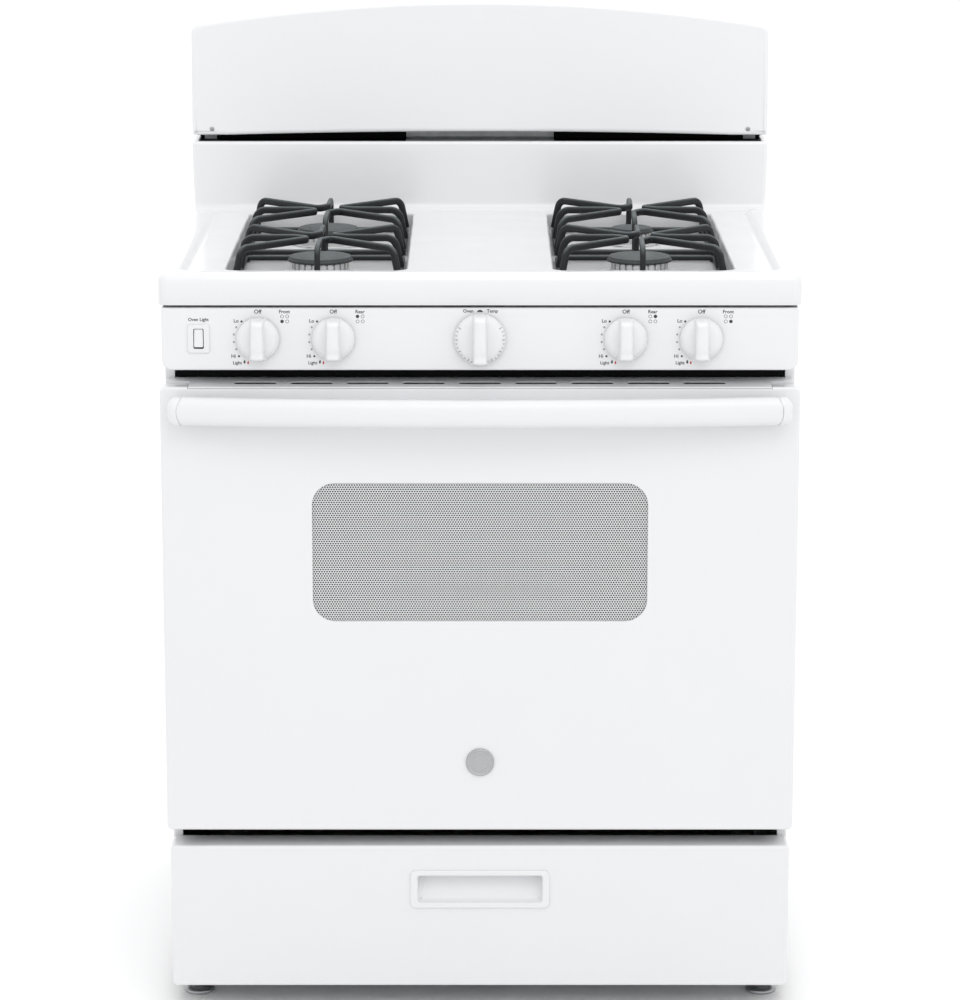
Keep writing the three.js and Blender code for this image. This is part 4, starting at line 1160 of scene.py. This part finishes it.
def riser_ring(half, front, back, z, corner):
    """Three sides of the riser at one height, from the left rear round to the right rear."""
    points = [(-half, back), (-half, front + corner + 20)]
    points += arc(-half + corner, front + corner, corner, 180, 270, 6)
    points += [(half * i / 6, front) for i in range(-5, 6)]
    points += arc(half - corner, front + corner, corner, 270, 360, 6)
    points += [(half, front + corner + 20), (half, back)]
    return [(a, b, z) for a, b in points]


def well_screws(floor_z):
    shape = Shape()
    for place in BURNER_PLACES:
        head = Box(place + "_burner_head")
        for angle in (60, 240):
            reach = head.half + 4
            x = head.x + reach * math.cos(math.radians(angle))
            y = head.y + reach * math.sin(math.radians(angle))
            screw(shape, facing_up(x, y, floor_z + 1.6), 3.2, 1.6)
    build("well_screws", shape, "range_body", "plain_steel")


def burner_heads():
    """Cast heads: a flange, a waisted body and a crown cut by radial flame ports."""
    for place in BURNER_PLACES:
        head = Box(place + "_burner_head")
        radius = head.half - 6
        base = head.z0 + 12
        shape = Shape()
        shape.turned([(11, -12), (11, 0), (radius + 5.6, 0.0), (radius + 6, 0.6), (radius + 6, 2.2),
                      (radius + 5.2, 3.0), (radius - 2, 3.6), (radius - 6, 5.0), (radius - 7, 7.0),
                      (radius - 12, 7.6), (3.0, 7.8)], facing_up(head.x, head.y, base), 72)
        crown(shape, head, base, radius)
        build(place + "_burner_casting", shape, "range_body", "burner_aluminium",
              replaces=[place + "_burner_head"], sharp=40)
        igniter(place, head, base, radius)


def crown(shape, head, base, radius):
    """The slotted ring under the cap: teeth standing between the flame ports."""
    ports = 24 if radius > 34 else 18
    for i in range(ports):
        start = 360 * (i + 0.16) / ports
        end = 360 * (i + 0.84) / ports
        outer = arc(0, 0, radius - 4.2, start, end, 3)
        inner = arc(0, 0, radius - 9.5, end, start, 3)
        loop = outer + inner
        rings = []
        for h, grow in ((4.5, 0.0), (14.6, 0.0), (15.8, 0.4)):
            share = 1 - grow / radius
            rings.append([(head.x + a * share, head.y + b * share, base + h) for a, b in loop])
        shape.body(rings)
    lip = [(radius - 3.6, 4.0), (radius - 3.6, 7.2), (radius - 4.4, 7.8), (radius - 9.6, 7.8),
           (radius - 9.6, 4.0), (radius - 3.6, 4.0)]
    wall = [(radius - 6.4, 7.0), (radius - 6.4, 14.4), (radius - 9.4, 14.4), (radius - 9.4, 7.0),
            (radius - 6.4, 7.0)]
    for profile in (lip, wall):
        shape.turned(profile, facing_up(head.x, head.y, base), 72, False, False)


def igniter(place, head, base, radius):
    """A spark electrode: a ceramic tube with a bent steel tip beside the crown."""
    angle = math.radians(40)
    x = head.x + (radius + 3.4) * math.cos(angle)
    y = head.y + (radius + 3.4) * math.sin(angle)
    tube = Shape().turned([(2.6, 2.0), (2.6, 8.0), (2.2, 8.8), (2.2, 11.0), (1.4, 11.6)],
                          facing_up(x, y, base), 16)
    build(place + "_igniter", tube, "range_body", "burner_aluminium", CERAMIC)
    circle = arc(0, 0, 0.7, 0, 315, 7)
    tip = Shape().rod([(x, y, base + 11), (x, y, base + 13.4), (x - 1.2, y - 1.0, base + 14.4),
                       (x - 3.0, y - 2.5, base + 14.6)], circle)
    build(place + "_igniter_tip", tip, "range_body", "plain_steel")


def burner_caps():
    """Round caps with a soft edge and a barely domed top."""
    for place in BURNER_PLACES:
        cap = Box(place + "_burner_cap")
        radius = cap.half
        low, top = cap.z0 + 2, cap.z1
        profile = [(radius - 15, low - 2), (radius - 15, low), (radius - 1.0, low),
                   (radius - 0.2, low + 0.3), (radius, low + 1.0), (radius - 0.15, low + 1.8),
                   (radius - 0.9, low + 2.8), (radius - 2.6, top - 1.3), (radius - 5.0, top - 0.7),
                   (radius * 0.6, top - 0.2), (radius * 0.25, top), (0.8, top)]
        shape = Shape().turned(profile, lambda a, b, h: (cap.x + a, cap.y + b, h), 80)
        build(place + "_round_cap", shape, place + "_cap", "cap_enamel",
              replaces=[place + "_burner_cap"])


# ---- grates ---------------------------------------------------------------------------------
def bent(points, radii, steps=7):
    """A path through points with each inner corner rounded to its own radius."""
    path = [Vector(points[0])]
    for before, corner, after, radius in zip(points, points[1:], points[2:], radii):
        corner = Vector(corner)
        to_before = (Vector(before) - corner).normalized()
        to_after = (Vector(after) - corner).normalized()
        half = to_before.angle(to_after) / 2
        reach = radius / math.tan(half)
        centre = corner + (to_before + to_after).normalized() * (radius / math.sin(half))
        start = corner + to_before * reach - centre
        end = corner + to_after * reach - centre
        turn = start.angle(end)
        for i in range(steps + 1):
            share = i / steps
            path.append(centre + start * (math.sin((1 - share) * turn) / math.sin(turn))
                        + end * (math.sin(share * turn) / math.sin(turn)))
    path.append(Vector(points[-1]))
    return path


def spaced(path, step):
    """The path with extra points, so that long straights carry even faces."""
    points = [path[0]]
    for a, b in zip(path, path[1:]):
        count = max(1, round((b - a).length / step))
        points += [a.lerp(b, i / count) for i in range(1, count + 1)]
    return points


def grate_rod(radius, half, top, foot):
    """From a corner of the ring up, in to the centre, round a hairpin and out to the next side."""
    z = top - radius
    bend = 13.0
    tip = 31.0
    lean = 7.0
    corner = half - lean
    return bent([
        (-half, -half, foot), (-corner, -corner, z), (-tip * 0.42, -tip * 0.42, z),
        (-tip, -1.0, z), (-corner, 0.0, z), (-half, 0.0, foot),
    ], [bend, 6.5, 6.5, bend])


def grates():
    """Wire pan supports: four flattened rods, each a quarter turn on, welded to a square ring."""
    half = 98.0
    wide, tall = 3.5, 4.6
    section = []
    for a, b in arc(0, 0, 1, 0, 360 - 360 / 16, 15):
        section.append((math.copysign(abs(a) ** 0.8, a) * wide,
                        math.copysign(abs(b) ** 0.8, b) * tall))
    for place in BURNER_PLACES:
        cad = Box(place + "_grate")
        low = cad.z0
        shape = Shape()
        path = spaced(grate_rod(tall, half, cad.z1, low + 8), 9.0)
        for quarter in range(4):
            turn = Matrix.Rotation(quarter * math.pi / 2, 3, "Z")
            centre = Vector((cad.x, cad.y, 0))
            side = turn @ Vector((1, -1, 0)).normalized()
            shape.rod([turn @ p + centre for p in path], section, side)
        ring = rounded(-half, half, -half, half, 9, 6)
        closed = [Vector((cad.x + a, cad.y + b, low + 4.6)) for a, b in ring]
        ring_rod(shape, closed, 3.6, 3.6)
        build(place + "_wire_grate", shape, place + "_pan_support", "grate_iron",
              replaces=[place + "_grate"], sharp=60)
    grate_feet()


def ring_rod(shape, loop, wide, tall, normal=(0, 0, 1)):
    """A rod bent into a closed flat loop: wide to its sides, tall along the loop's normal."""
    rings = []
    count = len(loop)
    normal = Vector(normal)
    section = arc(0, 0, 1.0, 0, 330, 11)
    for i, point in enumerate(loop):
        side = (loop[(i + 1) % count] - loop[i - 1]).normalized().cross(normal)
        rings.append([point + side * (a * wide) + normal * (b * tall) for a, b in section])
    shape.rings(rings + rings[:1])


def grate_feet():
    """Small rubber-like pads under the corners of each grate's ring."""
    for place in BURNER_PLACES:
        cad = Box(place + "_grate")
        shape = Shape()
        for sx in (-1, 1):
            for sy in (-1, 1):
                at = facing_up(cad.x + sx * 95, cad.y + sy * 95, cad.z0)
                shape.turned([(2.4, 0.0), (3.0, 0.4), (3.0, 1.4), (2.4, 2.4)], at, 14)
        build(place + "_grate_pads", shape, place + "_pan_support", "gland_rubber")


# ---- backguard ------------------------------------------------------------------------------
def arched(half, bottom, shoulder, top, corner):
    """The backguard's outline: square feet, round shoulders and a shallow arch between them."""
    chord = half - corner
    rise = top - shoulder
    radius = (chord * chord + rise * rise) / (2 * rise)
    centre = top - radius
    hub_x = half - corner
    hub_z = centre + math.sqrt((radius - corner) ** 2 - hub_x ** 2)
    tilt = math.degrees(math.atan2(hub_z - centre, hub_x))
    foot, rise_span = 4.5, 330.0
    loop = arc(-half + 3, bottom + 3, 3, 180, 270, 4)
    loop += [(rise_span * t, bottom + foot * (1 - t * t)) for t in (i / 12 for i in range(-12, 13))]
    loop += arc(half - 3, bottom + 3, 3, 270, 360, 4)
    right = arc(hub_x, hub_z, corner, 0, tilt, 9)
    crest = arc(0, centre, radius, tilt, 180 - tilt, 40)[1:-1]
    left = [(-a, b) for a, b in reversed(right)]
    return loop + right + crest + left


def backguard():
    lean = 0.06
    front, bottom = BACKGUARD.y0, BACKGUARD.z0
    depth = BACKGUARD.y1 - front
    outline = arched(BACKGUARD.x1, bottom, 1158.0, BACKGUARD.z1, 13.0)

    def place(a, b, c):
        slope = lean * (b - bottom) * max(0.0, 1 - c / 60)
        return (a, front + c + slope, b)

    shape = front_pan(outline, front, depth, 5.0, place=place)
    build("backguard_shell", shape, "range_body", "porcelain_white", replaces=["backguard_panel"],
          thickness=1.2)
    screws = Shape()
    for side in (-1, 1):
        screw(screws, facing_front(side * 352, front + 0.5, bottom + 8), 3.0, 1.4)
    build("backguard_screws", screws, "range_body", "plain_steel")


SLOT_FLOOR = 1001.0  # the floor of the flue slot


def vent_gap():
    """The dark flue slot between the riser and the backguard, with its pale tab in the middle."""
    shape = Shape()
    shape.block(-370, 370, 556, 640, 940, SLOT_FLOOR + 0.5, 1.0)
    shape.block(-372, 372, 612, 640, SLOT_FLOOR - 1, SLOT_FLOOR + 13.5, 1.0)
    for side in (-1, 1):
        for i in range(8):
            x = side * (40 + i * 42)
            shape.block(x - 9, x + 9, 575, 600, SLOT_FLOOR, SLOT_FLOOR + 1.6, 0.5)
    build("flue_baffle", shape, "range_body", "enamel_black")
    tab = Shape().block(-98, 98, 565, 611, SLOT_FLOOR + 2.2, SLOT_FLOOR + 3.6, 0.6)
    tab.block(-98, 98, 608, 611, SLOT_FLOOR + 2, SLOT_FLOOR + 11.5, 0.6)
    build("flue_tab", tab, "range_body", "galvanised_steel")


# ---- drawer ---------------------------------------------------------------------------------
DRAWER = Box("drawer_front")
PULL = Box("drawer_pull")


def drawer():
    outline = rounded(DRAWER.x0, DRAWER.x1, DRAWER.z0, DRAWER.z1, 5, 7)
    hole = rounded(PULL.x0 + 8, PULL.x1 - 8, PULL.z0 + 6, PULL.z1 - 6, 5, 6)
    shape = front_pan(outline, DRAWER.y0, DRAWER.y1 - DRAWER.y0 - 1, 3.0, [(hole, 0.6, 1.2)], 8)
    build("drawer_panel", shape, "storage_drawer", "paint_white", replaces=["drawer_front"],
          thickness=1.2)


def drawer_pull():
    """A moulded bezel with a finger recess whose back slopes up under its brow."""
    face, back = PULL.y0, PULL.y1
    outline = rounded(PULL.x0, PULL.x1, PULL.z0, PULL.z1, 7, 8)
    mouth = rounded(PULL.x0 + 9, PULL.x1 - 9, PULL.z0 + 7, PULL.z1 - 7, 3.5, 8)
    shape = Shape()
    rim = [(0.0, -0.05), (0.0, face + 1.4), (0.5, face + 0.5), (1.5, face), (1.9, face)]
    shape.tiers(outline, rim, standing)
    levels = [(-2.2, face), (-1.8, face), (-0.7, face + 0.5), (0.0, face + 1.6), (0.4, face + 6),
              (1.2, back - 5.5), (2.2, back - 2.6), (4.4, back - 1.5), (4.8, back - 1.5)]
    low, tall = PULL.z0 + 7, PULL.z1 - PULL.z0 - 14

    def scoop(a, b, y):
        """Shallow at the bottom, and deep and raised behind the brow at the top."""
        share = min(1.0, max(0.0, (b - low) / tall))
        depth = max(0.0, y - face) * (0.1 + 0.9 * share ** 0.6)
        return (a, min(y, face) + depth, b + 4.6 * share * depth / (back - face))

    shape.tiers(mouth, levels, scoop)
    shape.fill(shrunk(outline, 1.9), [shrunk(mouth, -2.2)], standing, face)
    shape.fill(shrunk(mouth, 4.8), [], scoop, back - 1.5)
    build("drawer_finger_pull", shape, "storage_drawer", "plastic_white", PULL_PAINT, ["drawer_pull"],
          thickness=1.0)


def drawer_tray():
    """The steel tray: sides with a rolled rim, a floor with shallow ribs, and its runners."""
    tray = Box("drawer_tray")
    half = tray.x1 - 24
    outline = rounded(-half, half, tray.y0, tray.y1, 8, 6)
    top, bottom = tray.z1, tray.z0
    shape = Shape()
    levels = [(-0.4, top - 3.0), (-1.0, top - 1.4), (0.0, top), (1.6, top - 0.4), (2.0, top - 2.0),
              (2.2, bottom + 9.0), (3.2, bottom + 5.0), (6.5, bottom + 1.8), (10.0, bottom + 1.2),
              (10.4, bottom + 1.2)]
    shape.tiers(outline, levels, lying)
    ribs = []
    for i in range(-3, 4):
        rib = rounded(i * 80 - 14, i * 80 + 14, tray.y0 + 50, tray.y1 - 50, 13, 8)
        steps = [(-0.4, 1.2), (0.0, 1.2), (2.0, 1.8), (5.0, 4.0), (7.0, 4.6), (7.4, 4.6)]
        shape.tiers(rib, [(inset, bottom + h) for inset, h in steps], lying)
        shape.fill(shrunk(rib, 7.4), [], lying, bottom + 4.6)
        ribs.append(shrunk(rib, -0.4))
    shape.fill(shrunk(outline, 10.4), ribs, lying, bottom + 1.2)
    runners = Shape()
    for side in (-1, 1):
        x0, x1 = sorted((side * (half - 0.6), side * tray.x1))
        runners.block(x0, x1, tray.y0 + 6, tray.y1 - 10, bottom + 18.4, bottom + 20.6, 0.5)
    build("drawer_steel_tray", shape, "storage_drawer", "galvanised_steel",
          replaces=["drawer_tray"], thickness=0.8)
    build("drawer_runners", runners, "storage_drawer", "galvanised_steel")


# ---- body -----------------------------------------------------------------------------------
def side_panels():
    """Painted sheets folded in at the front and rear."""
    for hand, side in (("left", -1), ("right", 1)):
        cad = Box("side_panel_" + hand)
        outer = max(abs(cad.x0), abs(cad.x1))
        fold = 2.2
        plan = [(outer - 11.5, cad.y0)]
        plan += arc(outer - fold, cad.y0 + fold, fold, -90, 0, 5)
        plan += [(outer, cad.y0 + 30), (outer, cad.y1 - 30)]
        plan += arc(outer - fold, cad.y1 - fold, fold, 0, 90, 5)
        plan += [(outer - 8, cad.y1)]
        shape = Shape()
        heights = [cad.z0, cad.z0 + 40, 300, 600, cad.z1]
        shape.rings([[(side * a, b, z) for a, b in plan] for z in heights], False)
        build("side_sheet_" + hand, shape, "range_body", "paint_white",
              replaces=["side_panel_" + hand], thickness=1.2)


def rear_screws():
    shape = Shape()
    panel = Box("rear_panel")
    face = panel.y1 - 2.5
    for side in (-1, 1):
        for z in (80, 240, 400, 560, 720, 850):
            screw(shape, facing_back(side * 362, face, z), 4.2, 2.2)
    for x in (-280, -140, 140, 280):
        for z in (72, 860):
            screw(shape, facing_back(x, face, z), 4.2, 2.2)
    cover = Box("backguard_rear_cover")
    for side in (-1, 1):
        for z in (900, 1010, 1130):
            screw(shape, facing_back(side * 358, cover.y1 - 2.3, z), 4.2, 2.2)
    build("rear_screws", shape, "range_body", "plain_steel")


def oven_racks():
    """Chromed wire shelves: a bent frame, two cross bars and many thin shelf wires."""
    for level in ("lower", "upper"):
        cad = Box("oven_rack_" + level)
        z = cad.z0 + 3.2
        shape = Shape()
        inset = 3.2
        loop = rounded(cad.x0 + inset, cad.x1 - inset, cad.y0 + inset, cad.y1 - inset, 16, 6)
        ring_rod(shape, [Vector((a, b, z)) for a, b in loop], 3.0, 3.0)
        thin = arc(0, 0, 1.25, 0, 300, 5)
        thick = arc(0, 0, 2.4, 0, 315, 7)
        for y in (cad.y0 + 120, cad.y1 - 120):
            shape.rod([(cad.x0 + 4, y, z), (cad.x1 - 4, y, z)], thick)
        for i in range(-11, 12):
            x = i * 24.6
            high = z + 3.7
            path = bent([(x, cad.y0 + 4, z + 1), (x, cad.y0 + 12, high), (x, cad.y1 - 12, high),
                         (x, cad.y1 - 4, z + 1)], [6, 6], 3)
            shape.rod(path, thin)
        build("wire_rack_" + level, shape, "rack_" + level, "rack_chrome",
              replaces=["oven_rack_" + level], sharp=60)


def door_seal():
    """A braided rope in a flat channel around the oven's mouth."""
    cad = Box("door_gasket")
    loop = rounded(cad.x0 + 5, cad.x1 - 5, cad.z0 + 5, cad.z1 - 5, 16, 8)
    shape = Shape()
    middle = [Vector((a, cad.y, b)) for a, b in loop]
    ring_rod(shape, middle, 5.0, (cad.y1 - cad.y0) / 2, (0, 1, 0))
    build("rope_seal", shape, "range_body", "gasket_rope", replaces=["door_gasket"])


def legs():
    """Turned levelling legs with a hexagon for the spanner and a coarse thread."""
    for end in ("front", "rear"):
        for hand in ("left", "right"):
            name = f"leveling_leg_{end}_{hand}"
            cad = Box(name)
            shape = Shape()
            at = facing_up(cad.x, cad.y, cad.z0)
            foot = [(17.5, 0.0), (19.0, 1.2), (19.0, 3.6), (18.0, 4.8), (12.0, 6.6), (8.0, 7.0)]
            shape.turned(foot, at, 48)
            hexagon = arc(0, 0, 10.4, 0, 300, 5)
            shape.body([[at(a * s, b * s, h) for a, b in hexagon]
                        for s, h in ((0.9, 6.6), (1.0, 7.6), (1.0, 16.6), (0.9, 17.8))])
            shape.turned([(4.3 if i % 2 else 5.0, 17.5 + 0.9 * i) for i in range(47)], at, 20)
            build(name + "_turned", shape, "range_body", "plain_steel", replaces=[name], sharp=50)


def main():
    camera()
    studio()
    floor()
    dress_frame()
    door_skin()
    door_trim()
    door_window()
    door_inside()
    door_handle()
    badge()
    control_panel()
    knobs()
    panel_printing()
    light_switch()
    cooktop()
    burner_heads()
    burner_caps()
    grates()
    backguard()
    vent_gap()
    drawer()
    drawer_pull()
    drawer_tray()
    side_panels()
    rear_screws()
    oven_racks()
    door_seal()
    legs()


main()
